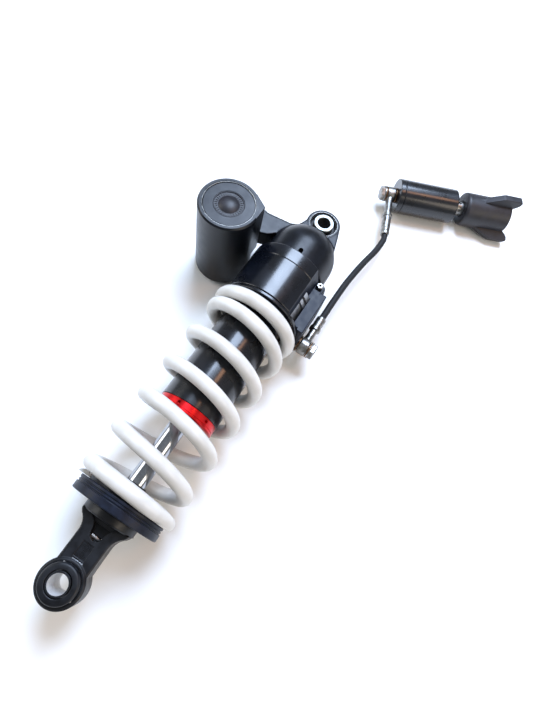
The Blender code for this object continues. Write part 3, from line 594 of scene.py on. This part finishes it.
def build_tube(shapes):
    """Damper tube with its red end cap, wiper, rod and foam stop."""
    lathe_piece(
        "damper_body_tube", ring(23.2, 27.0, 152.0, 331.0), ORIGIN, X_AXIS, "damper_body", "gloss_black", None,
        ["damper_tube"],
    )
    cap = turned(
        "damper_end_cap",
        [
            (22.9, 158),
            (22.9, 151.7),
            (26.6, 151.7),
            (26.8, 151.5),
            (26.8, 150.6),
            (26.8, 147.2),
            (26.8, 146.1),
        ]
        + [(26.3, 145.9), (26.3, 145.7), (26.8, 145.5), (26.8, 144.2), (25.8, 143.2), (25.2, 143), (12, 143)]
        + [(12, 147), (8.3, 147), (8.3, 158)],
        axis=X_AXIS,
    )
    for i in range(6):
        angle = math.radians(60 * i + 15)
        out = Vector((0, math.cos(angle), math.sin(angle)))
        at = Vector((148.9, 0, 0))
        cut(cap, pin("pin_hole", 1.4, at + out * 24, at + out * 30))
    dress(cap, "damper_body", "red_anodised", None, ["tube_end_cap"])
    lip = [(11.8, 143.4), (11.8, 146.7), (8.06, 146.7), (8.06, 143.0), (9.4, 142.2), (10.0, 143.4)]
    lathe_piece(
        "rod_wiper", lip, ORIGIN, X_AXIS, "damper_body", "black_rubber", None, ["dust_wiper"], edge=0.1
    )
    lathe_piece(
        "rod_chromed",
        [(3.1, 211), (5.8, 211), (5.8, 186), (8, 186), (8, 46), (7, 45), (3.1, 45)],
        ORIGIN,
        X_AXIS,
        "rod_assembly",
        "hard_chrome",
        None,
        ["piston_rod"],
    )
    stop = [
        (9.3, 82), (9.6, 80), (12.6, 76.5), (12.2, 74.4), (14.8, 71.2), (15, 66.9), (8.2, 66.9), (8.2, 81.5)
    ]
    lathe_piece("foam_stop", stop, ORIGIN, X_AXIS, "rod_assembly", "bump_foam", None, ["bump_stop"], edge=0.6)


def build_preload_cylinder(shapes):
    """Housing with flats and a step line, its port block, the bleed screw and the pressed seat."""
    housing = turned(
        "preload_housing",
        [
            (0, 318.2),
            (38.15, 318.2),
            (38.75, 317.6),
            (38.75, 305.3),
            (38.3, 304.9),
            (38.3, 266.1),
            (37.7, 265.5),
            (0, 265.5),
        ],
        axis=X_AXIS,
    )
    port_block = soften(block("port_block", (263, -43, -30), (309, -30.5, 14)), 0.8)
    join(housing, port_block)
    flats = [(-17.3, 34.7), (-23.6, 30.6), (-28.4, 14), (-60, 14), (-60, 60), (-17.3, 60)]
    side = plate("flats", [(-z, y) for y, z in flats], 240, 330, axis=X_AXIS)
    shelf = block("shelf", (309.2, -60, 11), (330, -28.4, 16))
    bore = turned("bore", [(0, 297.5), (34.3, 297.5), (34.3, 240), (0, 240)], axis=X_AXIS)
    tube_room = turned("tube_room", [(0, 325), (27.2, 325), (27.2, 230), (0, 230)], axis=X_AXIS)
    seat_room = turned("seat_room", [(0, 265.6), (39.2, 265.6), (39.2, 240), (0, 240)], axis=X_AXIS)
    port = pin("port", 5.0, PORT_AT + Y_AXIS * 7.5, PORT_AT - Y_AXIS * 5)
    cut(housing, side, shelf, bore, tube_room, seat_room, port)
    soften(clean(housing), 0.35, 2, clamp=False)
    dress(housing, "damper_body", "gloss_black", None, ["preload_cylinder"])
    housing.data.materials.append(finish_of("milled_black"))
    for face in housing.data.polygons:
        milled = (face.center - LOWER_EYE).y < -24.0 * MM
        face.material_index = int(milled)
    screw = turned(
        "bleed_head",
        [(0, 15.2), (2.9, 15.2), (3.6, 14.6), (3.6, 11.2), (0, 11.2)],
        (314.6, -32.2, 0),
        steps=6,
    )
    socket = turned("socket", [(0, 17), (1.5, 17), (1.5, 13.4), (0, 13.4)], (314.6, -32.2, 0), steps=6)
    cut(soften(screw, 0.3), socket)
    dress(screw, "damper_body", "zinc_steel", None, ["bleed_screw"])
    seat = [(38.1, 265.2), (38.6, 264.7), (38.6, 262.5), (38.1, 262), (31.2, 262), (31.2, 257), (30.2, 256)]
    seat += [(27.5, 256), (27.5, 265.2)]
    lathe_piece(
        "spring_seat_upper", seat, ORIGIN, X_AXIS, "preload_ring", "gloss_black", None, ["upper_spring_seat"],
        edge=0.25,
    )


# Spring, lower seat and lower eye.


def coil_height(turn):
    """Closed turns at both ends and open turns between them."""
    opened = min(max(turn - 1.0, 0.0), OPEN_TURNS)
    return FIRST_TURN_AT + CLOSED_PITCH * turn + OPEN_PITCH * opened


def build_spring(shapes):
    """Round wire coiled left-handed, ground flat at both ends. The real spring squashes as the shock closes; this
    mesh rides on the damper body and keeps its shape.
    """
    count = round(SPRING_TURNS * shapes.coil_points)
    radius = shapes.coil_diameter / 2 / MM
    curve = bpy.data.curves.new("coil_wire", "CURVE")
    curve.dimensions = "3D"
    curve.bevel_depth = shapes.wire_diameter / 2
    curve.bevel_resolution = 4
    curve.use_fill_caps = True
    spline = curve.splines.new("POLY")
    spline.points.add(count)
    for i, point in enumerate(spline.points):
        turn = i / shapes.coil_points
        angle = 2 * math.pi * turn
        at = Vector((coil_height(turn), radius * math.cos(angle), -radius * math.sin(angle)))
        point.co = (*(LOWER_EYE + at * MM), 1.0)
    coil = bpy.data.objects.new("coil_wire", curve)
    bpy.context.scene.collection.objects.link(coil)
    only(coil)
    bpy.ops.object.convert(target="MESH")
    bpy.ops.object.mode_set(mode="EDIT")
    for height, side in ((SPRING_LOW, -1), (SPRING_HIGH, 1)):
        bpy.ops.mesh.select_all(action="SELECT")
        bpy.ops.mesh.remove_doubles(threshold=MERGE)
        face = LOWER_EYE + X_AXIS * height * MM
        bpy.ops.mesh.bisect(plane_co=face, plane_no=X_AXIS * side, use_fill=True, clear_outer=True)
    bpy.ops.mesh.select_all(action="SELECT")
    bpy.ops.mesh.normals_make_consistent(inside=False)
    bpy.ops.object.mode_set(mode="OBJECT")
    dress(bpy.context.object, "damper_body", "white_paint", None, ["coil_spring"])
    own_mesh(bpy.context.object)


def build_lower_seat(shapes):
    """Stepped flange with two fine grooves and a locating rim inside the coil."""
    seat = [
        (17, 71), (30.2, 71), (31.1, 70), (31.1, 66.5), (37.3, 66.5), (37.7, 66.1), (37.7, 64.3), (36.8, 64.1)
    ]
    seat += [
        (36.8, 63.3),
        (37.5, 63.1),
        (37.5, 62.1),
        (36.8, 61.9),
        (36.8, 61.1),
        (38, 60.9),
        (38, 55.6),
        (37.4, 55),
    ]
    seat += [(17, 55)]
    piece = turned("spring_seat_lower", seat, axis=X_AXIS)
    soften(piece, 0.2, 2)
    dress(piece, "rod_assembly", "satin_black", "seat_black", ["lower_spring_seat"])


def neck_outline():
    """The link's neck: narrow over the eye, flaring into the collar with a round shoulder."""
    side = [(0, 13.2), (12, 13.0), (34, 13.0)] + arc((34, 26), 13.0, -90, -34, 8) + [(46.6, 20.2), (49, 21.3)]
    return [(x, -y) for x, y in side] + [(x, y) for x, y in reversed(side)]


def build_clevis(shapes):
    """Forged link: collar, flared neck with a cored pocket on both faces, a sunk panel and the eye."""
    link = turned(
        "lower_link",
        [
            (0, 66.2),
            (16.5, 66.2),
            (16.5, 54.7),
            (22.0, 54.7),
            (22.5, 54.2),
            (22.5, 49.0),
            (21.5, 48.0),
            (0, 48.0),
        ],
        axis=X_AXIS,
    )
    neck = soften(plate("neck", neck_outline(), -12, 12), 1.4, 4, 60)
    eye = turned(
        "eye", [(0, 13), (16.0, 13), (17.5, 11.9), (17.5, -11.9), (16.0, -13), (0, -13)]
    )
    join(link, neck, eye)
    floor = arc((38.0, -0.6), 5.0, 110, 250, 9) + [(41.0, -6.4), (44.4, -8.0), (44.4, 6.8), (41.0, 5.2)]
    mouth = [(43.0, -7.3), (46.4, -10.4), (48.4, -15.6), (48.4, 14.4), (46.4, 9.4), (43.0, 6.2)]
    for sign in (1, -1):
        deep, wide = sorted((3.6 * sign, 14.2 * sign)), sorted((8.8 * sign, 14.2 * sign))
        cut(link, plate("pocket", floor, *deep), plate("pocket_mouth", mouth, *wide))
    panel = block("panel", (18.8, -4.6, 10.9), (30.4, 4.6, 14))
    bore = turned("bore", [(0, 20), (11.3, 20), (11.3, -20), (0, -20)])
    cover_room = turned("cover_room", [(0, 20), (14.7, 20), (14.7, 12.5), (0, 12.5)])
    cover_room_far = turned("cover_room_far", [(0, -12.5), (14.7, -12.5), (14.7, -20), (0, -20)])
    rod_room = turned("rod_room", [(0, 70), (8.1, 70), (8.1, 44.7), (0, 44.7)], axis=X_AXIS)
    needle_room = pin("needle_room", 3.2, (30, 0, 0), (46, 0, 0))
    screw_room = pin("screw_room", 4.0, (35, -4.5, 0), (35, 15.5, 0))
    cut(link, panel, bore, cover_room, cover_room_far, rod_room, needle_room, screw_room)
    soften(clean(link), 0.3, 2, clamp=False)
    for x in (21.8, 27.2):
        stamp = turned("stamp", ring(1.9, 2.5, 10.6, 11.4), (x, 0.2, 0), steps=STEPS_SMALL)
        dot = turned("dot", [(0, 11.3), (0.7, 11.3), (0.7, 10.6), (0, 10.6)], (x, 0.2, 0), steps=12)
        join(link, stamp, dot)
    dress(link, "rod_assembly", "satin_black", "forged_black", ["lower_clevis"])
    # A thin pale aluminium strip on the link's top face, along the eye's rim.
    mark = block("link_wear_mark", (16.8, -5.2, 11.9), (17.5, 4.0, 12.12))
    dress(soften(mark, 0.1, 2), "rod_assembly", "satin_black", "aluminium")
    screw = turned(
        "rebound_screw_head",
        [(0, 16.5), (3.3, 16.5), (3.7, 16.1), (3.7, 6.0), (1.6, 1.0), (0, 0.6)],
        (35, -4.5, 0),
        Y_AXIS,
        STEPS_SMALL,
    )
    cut(screw, block("slot", (30, 10.6, -0.5), (40, 14, 0.5)))
    dress(screw, "rebound_adjuster", "zinc_steel", None, ["rebound_screw"])


def coat_beyond(piece, at, radius, finish):
    """Gives the faces further from the bore's axis than the radius a second finish."""
    piece.data.materials.append(finish_of(finish))
    centre = LOWER_EYE + at * MM
    for face in piece.data.polygons:
        out = (face.center - centre).xy.length
        face.material_index = int(out > radius * MM)


def build_lower_eye(shapes):
    """Dust covers with a rolled rim over the bearing, and the two sleeves that the bolt passes."""
    for side, sign in (("near", 1), ("far", -1)):
        cover = [
            (9.4, 18.3), (12.6, 18.3), (13.6, 17.8), (14.3, 16.8), (14.4, 12.7), (9.2, 12.7), (9.2, 17.9)
        ]
        lathe_piece(
            f"dust_cover_{side}", cover, ORIGIN, Z_AXIS * sign, "rod_assembly", "satin_black", "forged_black",
            [f"lower_dust_cover_{side}"], edge=0.4,
        )
        # The bore faces are pale steel with painted light that keeps the shaded bore bright. The faces further out
        # get the dark forging finish.
        sleeve = ring(7.0, 8.6, 0.15, 18.6)
        piece = lathe_piece(
            f"eye_sleeve_{side}", sleeve, ORIGIN, Z_AXIS * sign,
            "lower_sleeves", "bearing_steel", "bore_steel_with_painted_light",
            [f"lower_sleeve_{side}"], edge=0.3,
        )
        coat_beyond(piece, ORIGIN, 7.1, "forged_black")


def build_upper_eye(shapes):
    """Flanged bushes in a spherical bearing, with a rubber seal each side."""
    for side, sign in (("near", 1), ("far", -1)):
        bush = [
            (9.6, 13.0),
            (10.2, 12.4),
            (10.2, 7.4),
            (7.8, 7.4),
            (7.8, 0.15),
            (6.2, 0.15),
            (6.2, 12.4),
            (6.8, 13.0),
        ]
        # The bush's bore faces get black rubber in place of steel: painted shade down the hole. The faces further
        # out get bright steel.
        piece = lathe_piece(
            f"eye_bush_{side}", bush, UPPER_EYE, Z_AXIS * sign, "upper_bushes", "zinc_steel", "black_rubber",
            [f"upper_bush_{side}"], edge=0.2,
        )
        coat_beyond(piece, UPPER_EYE, 6.45, "bright_steel")
        seal = [(12.4, 7.6), (12.4, 9.6), (13.0, 10.0), (14.0, 9.6), (14.0, 7.6)]
        lathe_piece(
            f"eye_seal_{side}", seal, UPPER_EYE, Z_AXIS * sign, "damper_body", "black_rubber", None,
            [f"upper_seal_{side}"], edge=0.2,
        )
    ball = [
        (11.2 * math.cos(a), 11.2 * math.sin(a))
        for a in [math.radians(-38.5 + 77 * i / 20) for i in range(21)]
    ]
    # The steel ball gets the dark coated-forging finish in place of its slot's bright steel: painted shade inside
    # the eye.
    lathe_piece(
        "eye_ball", ball + [(8.0, 7.0), (8.0, -7.0)], UPPER_EYE,
        Z_AXIS, "upper_ball", "bearing_steel", "forged_black",
        ["upper_bearing_ball"], edge=0,
    )


# Hydraulic line and remote adjuster.


def build_banjo(prefix, face, axis, neck, lengths):
    """Bolt with a washer each side of the fitting's eye, and its stem with a crimped ferrule."""
    for side, low in (("inner", 0.3), ("outer", 11.5)):
        lathe_piece(
            f"{prefix}_seal_{side}", ring(5.2, 8.2, low, low + 1.4),
            face, axis, "damper_body", "copper", None,
            [f"{prefix}_washer_{side}"], STEPS_SMALL, 0.3,
        )
    bolt = turned(
        f"{prefix}_bolt_head",
        [(0, 18.4), (7.4, 18.4), (8.1, 17.9), (8.1, 14.4), (7.9, 13.9), (0, 13.9)],
        face,
        axis,
        6,
    )
    collar = turned(
        "collar", [(0, 14.4), (8.0, 14.4), (8.3, 13.8), (8.3, 13.2), (0, 13.2)], face, axis, STEPS_SMALL
    )
    crown = turned(
        "crown", [(0, 18.6), (5.2, 18.6), (5.8, 18.0), (5.8, 17), (0, 17)], face, axis, STEPS_SMALL
    )
    shank = turned("shank", [(0, 15), (4.8, 15), (4.8, -5.5), (0, -5.5)], face, axis, STEPS_SMALL)
    join(soften(bolt, 0.25), collar, crown, shank)
    dress(bolt, "damper_body", "zinc_steel", None, [f"{prefix}_bolt"])
    centre = face + axis * 6.6
    eye = [(7.2, 4.6), (8.1, 4.1), (8.5, 3.0), (8.5, -3.0), (8.1, -4.1), (7.2, -4.6), (5.2, -4.6), (5.2, 4.6)]
    fitting = turned(f"{prefix}_eye", eye, centre, axis, STEPS_SMALL)
    step, low, high = lengths
    stem = [(0, high), (3.6, high), (4.3, high - 0.1), (4.9, high - 1.0)]
    for i in range(2):
        top = high - 4 - 4.2 * i
        stem += [(4.9, top), (4.6, top - 0.6), (4.6, top - 1.6), (4.9, top - 2.2)]
    stem += [
        (4.9, low + 4),
        (5.6, low + 3.4),
        (5.6, low + 0.4),
        (4.9, low - 0.1),
        (4.0, low - 0.6),
        (3.9, step + 1),
    ]
    stem += [(4.0, step - 1), (4.5, 8.4), (4.5, 5.8), (0, 5.8)]
    join(fitting, turned("stem", stem, centre, neck, STEPS_SMALL))
    soften(fitting, 0.2, 2, 40)
    dress(fitting, "damper_body", "zinc_steel", None, [f"{prefix}_fitting"])
    return centre


def smooth_route(controls, spacing):
    """Points on a smooth curve through the controls, about spacing apart."""
    padded = [controls[0] * 2 - controls[1]] + controls + [controls[-1] * 2 - controls[-2]]
    points = []
    for a, b, c, d in zip(padded, padded[1:], padded[2:], padded[3:]):
        count = max(round((c - b).length / spacing), 1)
        for i in range(count):
            t = i / count
            bend = (2 * a - 5 * b + 4 * c - d) * t * t + (3 * (b - c) + d - a) * t * t * t
            points.append((2 * b + (c - a) * t + bend) / 2)
    return points + [controls[-1]]


def build_line(shapes):
    """Both fittings, and the hose that meets them face to face."""
    first = build_banjo("shock_banjo", PORT_AT, -Y_AXIS, X_AXIS, (12.0, 20.0, 36.0))
    last = build_banjo("remote_banjo", REMOTE_AT, -REMOTE_AXIS, REMOTE_NECK, (12.0, 30.0, 58.0))
    start, end = first + X_AXIS * 36.3, last + REMOTE_NECK * 58.3
    route = [start, start + X_AXIS * 6.0]
    route += [
        Vector(p)
        for p in ((330, -49.6, -17.8), (358, -50.4, -19.6), (388, -53.4, -21.9), (414, -57.4, -24.0))
    ]
    route += [end + REMOTE_NECK * 6.0, end]
    points = [LOWER_EYE + point * MM for point in smooth_route(route, 3.0)]
    curve = bpy.data.curves.new("preload_hose", "CURVE")
    curve.dimensions = "3D"
    curve.bevel_depth = 3.3 * MM
    curve.bevel_resolution = 6
    curve.use_fill_caps = True
    spline = curve.splines.new("POLY")
    spline.points.add(len(points) - 1)
    for point, at in zip(spline.points, points):
        point.co = (*at, 1.0)
    hose = bpy.data.objects.new("preload_hose", curve)
    bpy.context.scene.collection.objects.link(hose)
    hose.data.materials.append(finish_of("black_rubber"))
    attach(hose, "damper_body")
    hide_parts("hydraulic_hose")


def build_remote(shapes):
    """Remote cylinder with its flange groove, end cap, notched sleeve and spindle."""
    at, axis = REMOTE_AT, REMOTE_AXIS
    shell = [
        (18.1, 68), (19, 67.1), (19, 6.3), (18.2, 6.0), (18.2, 5.3), (19, 5.0), (19, 0.5), (18.5, 0), (5.1, 0)
    ]
    shell += [(5.1, 8), (14.3, 8), (14.3, 60), (15.8, 60), (15.8, 68)]
    lathe_piece(
        "remote_cylinder",
        shell,
        at,
        axis,
        "damper_body",
        "gloss_black",
        "gloss_black_remote",
        ["remote_body"],
        edge=0.25,
    )
    lathe_piece(
        "remote_cap",
        ring(5.1, 15.5, 60.3, 68.2),
        at,
        axis,
        "damper_body",
        "aluminium",
        None,
        ["remote_end_cap"],
        edge=0.5,
    )
    sleeve = turned("click_sleeve", ring(5.1, 8.2, 68.5, 86), at, axis, STEPS_SMALL)
    for i in range(6):
        turn = Matrix.Rotation(math.radians(60 * i), 4, axis)
        out = turn @ Z_AXIS
        cut(sleeve, pin("notch", 1.7, at + axis * 74 + out * 6.4, at + axis * 74 + out * 12))
    dress(soften(sleeve, 0.25, 2), "damper_body", "zinc_steel", None, ["detent_sleeve"])
    spindle = [(0, 92), (4.8, 92), (4.8, 29), (0, 28.2)]
    lathe_piece(
        "screw_spindle", spindle, at, axis, "knob", "zinc_steel", None, ["remote_spindle"], STEPS_SMALL
    )


def build_knob(shapes):
    """Three-winged knob: round hub, flaring wings with flat tips and a dished end."""
    at, axis = REMOTE_AT, REMOTE_AXIS
    rim = arc((15.2, 82.4), 3.4, -90, 0, 6)
    hub = [(0, 128.5), (10, 129.6), (15.6, 132), (17.6, 132), (18.6, 131)] + [(18.6, 91)]
    hub += [(18.6, 83)] + [(r, z) for r, z in reversed(rim)] + [(0, 79)]
    knob = turned("preload_knob_grip", hub, at, axis, STEPS_LARGE)
    for i in range(3):
        angle = math.radians(4.0) + 2 * math.pi * i / 3
        out = Z_AXIS * math.cos(angle) + Z_AXIS.cross(axis) * math.sin(angle)
        outline = [(8, 98), (18.1, 98), (21, 103), (27.5, 115.6), (28.5, 118), (28.5, 136.6), (27.0, 138.6)]
        outline += [(23, 138.0), (19.6, 135.4), (16.5, 131.6), (12, 128)]
        wing = plate("wing", outline, -4.1, 4.1)
        only(wing)
        axes = Matrix((out, axis, out.cross(axis))).transposed().to_4x4()
        wing.data.transform(Matrix.Translation(-LOWER_EYE))
        wing.data.transform(Matrix.Translation(LOWER_EYE + at * MM) @ axes)
        join(knob, soften(wing, 0.9, 3))
    bore = [(0, 95), (5.1, 95), (5.1, 86.4), (8.9, 86.4), (8.9, 76), (0, 76)]
    cut(knob, turned("bore", bore, at, axis, STEPS_SMALL))
    soften(knob, 0.5, 2, 40)
    dress(knob, "knob", "grey_plastic", None, ["adjuster_knob"])


def dress_inner_nodes():
    """The sealed inner nodes that still show get the finish of their own slot, but the upper bearing race gets a
    dark one as painted shade.
    """
    slots = {part["node"]: part["material_slot"] for part in frame["record"]["subparts"]}
    # Dark phosphated finish on the race in place of its slot's: painted shade inside the upper eye.
    slots["upper_bearing_race"] = "phosphated_steel"
    for name, node in frame["nodes"].items():
        if not node.hide_render:
            node.data.materials.clear()
            node.data.materials.append(finish_of(slots[name]))


def build_stage(stage):
    """Pale floor, sky, a cool window light, a warm card, a weak fill each side and the camera."""
    bpy.ops.object.select_all(action="DESELECT")
    bpy.ops.mesh.primitive_plane_add(size=FLOOR_SIZE)
    floor = bpy.context.object
    floor.name = floor.data.name = "studio_floor"
    made, tree, shader, place = surface("matte_paper")
    vary(tree, shader, place, (linear("#f2f1ee"), linear("#f6f5f3")), (0.8, 0.9), 400)
    floor.data.materials.append(made)
    world = bpy.data.worlds.new("studio_world")
    bpy.context.scene.world = world
    world.use_nodes = True
    world.node_tree.nodes["Background"].inputs["Color"].default_value = stage.sky_colour
    world.node_tree.nodes["Background"].inputs["Strength"].default_value = stage.sky_strength
    for name, at, sides, power, colour in (
        ("window", (0.75, 0.2, 1.4), (0.8, 0.8), stage.softbox_power, "#cfe2ff"),
        ("warm_side", (-0.35, -1.5, 1.1), (1.0, 1.0), stage.fill_power, "#fff0dd"),
        ("far_side", (-0.3, 1.6, 0.9), (1.0, 1.0), stage.fill_power, "#ffffff"),
        ("warm_card", (0.36, -0.47, 1.32), (0.28, 0.28), stage.card_power, "#ffc095"),
    ):
        data = bpy.data.lights.new(name, "AREA")
        data.shape = "RECTANGLE"
        data.size, data.size_y = sides
        data.energy = power
        data.color = linear(colour)[:3]
        light = bpy.data.objects.new(name, data)
        bpy.context.scene.collection.objects.link(light)
        light.location = at
        light.rotation_euler = (Vector((0.0, 0.0, 0.05)) - Vector(at)).to_track_quat("-Z", "Y").to_euler()
    # Plain display colours keep the floor white and the anodising black.
    bpy.context.scene.view_settings.view_transform = "Standard"
    data = bpy.data.cameras.new("camera")
    data.lens = stage.lens
    data.sensor_width = 36.0
    data.sensor_fit = "AUTO"
    data.clip_start = 0.01
    camera = bpy.data.objects.new("camera", data)
    bpy.context.scene.collection.objects.link(camera)
    turn = Matrix((CAMERA_RIGHT, CAMERA_UP, CAMERA_BACK)).transposed().to_4x4()
    camera.matrix_world = Matrix.Translation(CAMERA_AT) @ turn
    bpy.context.scene.camera = camera


# The add-on: what a user would change, one operator for each group of pieces, and the panel.


class ShockShapes(bpy.types.PropertyGroup):
    """The spring's sizes, and how finely the pieces are made."""

    wire_diameter: bpy.props.FloatProperty(
        name="Wire", description="Diameter of the spring's wire", default=0.0125, unit="LENGTH", precision=4
    )
    coil_diameter: bpy.props.FloatProperty(
        name="Coil", description="Diameter of the coil at the wire's middle", default=0.0755, unit="LENGTH"
    )
    cast_grid: bpy.props.FloatProperty(
        name="Casting grid",
        description="Grid that the casting is remeshed on",
        default=0.0008,
        min=0.0004,
        unit="LENGTH",
        precision=4,
    )
    cast_rounding: bpy.props.IntProperty(
        name="Casting rounding",
        description="Smoothing steps that give the casting its fillets",
        default=8,
        min=0,
    )
    coil_points: bpy.props.IntProperty(
        name="Coil points", description="Points round one turn of the spring", default=48, min=16
    )


def colour_setting(name, description, code):
    return bpy.props.FloatVectorProperty(
        name=name, description=description, subtype="COLOR", size=4, default=linear(code)
    )


class ShockFinishes(bpy.types.PropertyGroup):
    """Colours of the coloured pieces, each with the shade that clouds it."""

    spring_colour: colour_setting("Spring", "Powder coat on the spring", "#d8d5cf")
    spring_shade: colour_setting("Spring shade", "Duller patches on the spring", "#c6c2ba")
    cap_colour: colour_setting("End cap", "Dyed anodising on the tube's end cap", "#d0141a")
    cap_shade: colour_setting("End cap shade", "Darker patches on the end cap", "#b00a0e")
    knob_colour: colour_setting("Knob", "Moulded nylon of the knob and plug", "#1f1d24")
    knob_shade: colour_setting("Knob shade", "Darker patches on the knob and plug", "#121116")


class ShockStage(bpy.types.PropertyGroup):
    """Lights, lens and sky of the stage."""

    lens: bpy.props.FloatProperty(
        name="Lens", description="Focal length in millimetres", default=24.47, unit="CAMERA"
    )
    sky_colour: colour_setting("Sky", "Colour of the sky light", "#dfe5ec")
    sky_strength: bpy.props.FloatProperty(
        name="Sky strength", description="Strength of the sky light", default=0.4, min=0.0
    )
    softbox_power: bpy.props.FloatProperty(
        name="Window", description="Power of the window light", default=46.0, unit="POWER"
    )
    fill_power: bpy.props.FloatProperty(
        name="Fill", description="Power of each side fill", default=12.0, unit="POWER"
    )
    card_power: bpy.props.FloatProperty(
        name="Warm card", description="Power of the small warm light", default=2.2, unit="POWER"
    )


class ShockOperator:
    """What the operators share: each builds one group of pieces from the shapes' settings."""

    bl_options = {"REGISTER", "UNDO"}

    def execute(self, context):
        self.build(context.scene.shock_shapes)
        return {"FINISHED"}


class SHOCK_OT_stage(bpy.types.Operator):
    """Floor, lights, sky and camera"""

    bl_idname = "shock.stage"
    bl_label = "Stage"
    bl_options = {"REGISTER", "UNDO"}

    def execute(self, context):
        build_stage(context.scene.shock_stage)
        return {"FINISHED"}


class SHOCK_OT_line(ShockOperator, bpy.types.Operator):
    """Hose, and at each end a banjo fitting with its bolt and sealing washers"""

    bl_idname = "shock.line"
    bl_label = "Hydraulic line"
    build = staticmethod(build_line)


class SHOCK_OT_head(ShockOperator, bpy.types.Operator):
    """Dome, upper eye and the web that carries the reservoir"""

    bl_idname = "shock.head"
    bl_label = "Head casting"
    build = staticmethod(build_head)


class SHOCK_OT_reservoir(ShockOperator, bpy.types.Operator):
    """Can, lid, wire ring and domed plug"""

    bl_idname = "shock.reservoir"
    bl_label = "Reservoir"
    build = staticmethod(build_reservoir)


class SHOCK_OT_tube(ShockOperator, bpy.types.Operator):
    """Tube with its red end cap, the wiper, the chromed rod and the foam stop"""

    bl_idname = "shock.tube"
    bl_label = "Damper tube and rod"
    build = staticmethod(build_tube)


class SHOCK_OT_cylinder(ShockOperator, bpy.types.Operator):
    """Housing with its port block, the bleed screw and the pressed spring seat"""

    bl_idname = "shock.cylinder"
    bl_label = "Preload cylinder"
    build = staticmethod(build_preload_cylinder)


class SHOCK_OT_spring(ShockOperator, bpy.types.Operator):
    """Coil spring, ground flat at both ends"""

    bl_idname = "shock.spring"
    bl_label = "Spring"
    build = staticmethod(build_spring)


class SHOCK_OT_seat(ShockOperator, bpy.types.Operator):
    """Stepped flange with two grooves"""

    bl_idname = "shock.seat"
    bl_label = "Lower spring seat"
    build = staticmethod(build_lower_seat)


class SHOCK_OT_clevis(ShockOperator, bpy.types.Operator):
    """Forged link with its rebound screw"""

    bl_idname = "shock.clevis"
    bl_label = "Lower link"
    build = staticmethod(build_clevis)


class SHOCK_OT_lower_eye(ShockOperator, bpy.types.Operator):
    """Dust covers and sleeves of the lower bearing"""

    bl_idname = "shock.lower_eye"
    bl_label = "Lower eye"
    build = staticmethod(build_lower_eye)


class SHOCK_OT_upper_eye(ShockOperator, bpy.types.Operator):
    """Spherical bearing with its bushes and seals"""

    bl_idname = "shock.upper_eye"
    bl_label = "Upper eye"
    build = staticmethod(build_upper_eye)


class SHOCK_OT_remote(ShockOperator, bpy.types.Operator):
    """Cylinder, end cap, click sleeve and spindle"""

    bl_idname = "shock.remote"
    bl_label = "Remote cylinder"
    build = staticmethod(build_remote)


class SHOCK_OT_knob(ShockOperator, bpy.types.Operator):
    """Hub with three wings"""

    bl_idname = "shock.knob"
    bl_label = "Adjuster knob"
    build = staticmethod(build_knob)


class SHOCK_OT_inner(bpy.types.Operator):
    """Finishes of the inner nodes that no new piece stands for"""

    bl_idname = "shock.inner"
    bl_label = "Inner pieces"
    bl_options = {"REGISTER", "UNDO"}

    def execute(self, context):
        dress_inner_nodes()
        return {"FINISHED"}


OPERATORS = (
    SHOCK_OT_stage,
    SHOCK_OT_line,
    SHOCK_OT_head,
    SHOCK_OT_reservoir,
    SHOCK_OT_tube,
    SHOCK_OT_cylinder,
    SHOCK_OT_spring,
    SHOCK_OT_seat,
    SHOCK_OT_clevis,
    SHOCK_OT_lower_eye,
    SHOCK_OT_upper_eye,
    SHOCK_OT_remote,
    SHOCK_OT_knob,
    SHOCK_OT_inner,
)


class SHOCK_PT_panel(bpy.types.Panel):
    """Lists the settings and the operators in the order that they are run"""

    bl_label = "Rear Shock"
    bl_space_type = "VIEW_3D"
    bl_region_type = "UI"
    bl_category = "Shock"

    def draw(self, context):
        scene = context.scene
        for settings in (scene.shock_shapes, scene.shock_finishes, scene.shock_stage):
            for name in settings.bl_rna.properties.keys():
                if name not in ("rna_type", "name"):
                    self.layout.prop(settings, name)
        for operator in OPERATORS:
            self.layout.operator(operator.bl_idname)


CLASSES = (ShockShapes, ShockFinishes, ShockStage, *OPERATORS, SHOCK_PT_panel)


def register():
    for made in CLASSES:
        bpy.utils.register_class(made)
    bpy.types.Scene.shock_shapes = bpy.props.PointerProperty(type=ShockShapes)
    bpy.types.Scene.shock_finishes = bpy.props.PointerProperty(type=ShockFinishes)
    bpy.types.Scene.shock_stage = bpy.props.PointerProperty(type=ShockStage)


def unregister():
    del bpy.types.Scene.shock_stage
    del bpy.types.Scene.shock_finishes
    del bpy.types.Scene.shock_shapes
    for made in reversed(CLASSES):
        bpy.utils.unregister_class(made)


def main():
    register()
    for operator in OPERATORS:
        group, name = operator.bl_idname.split(".")
        getattr(getattr(bpy.ops, group), name)()


if __name__ == "__main__":
    main()
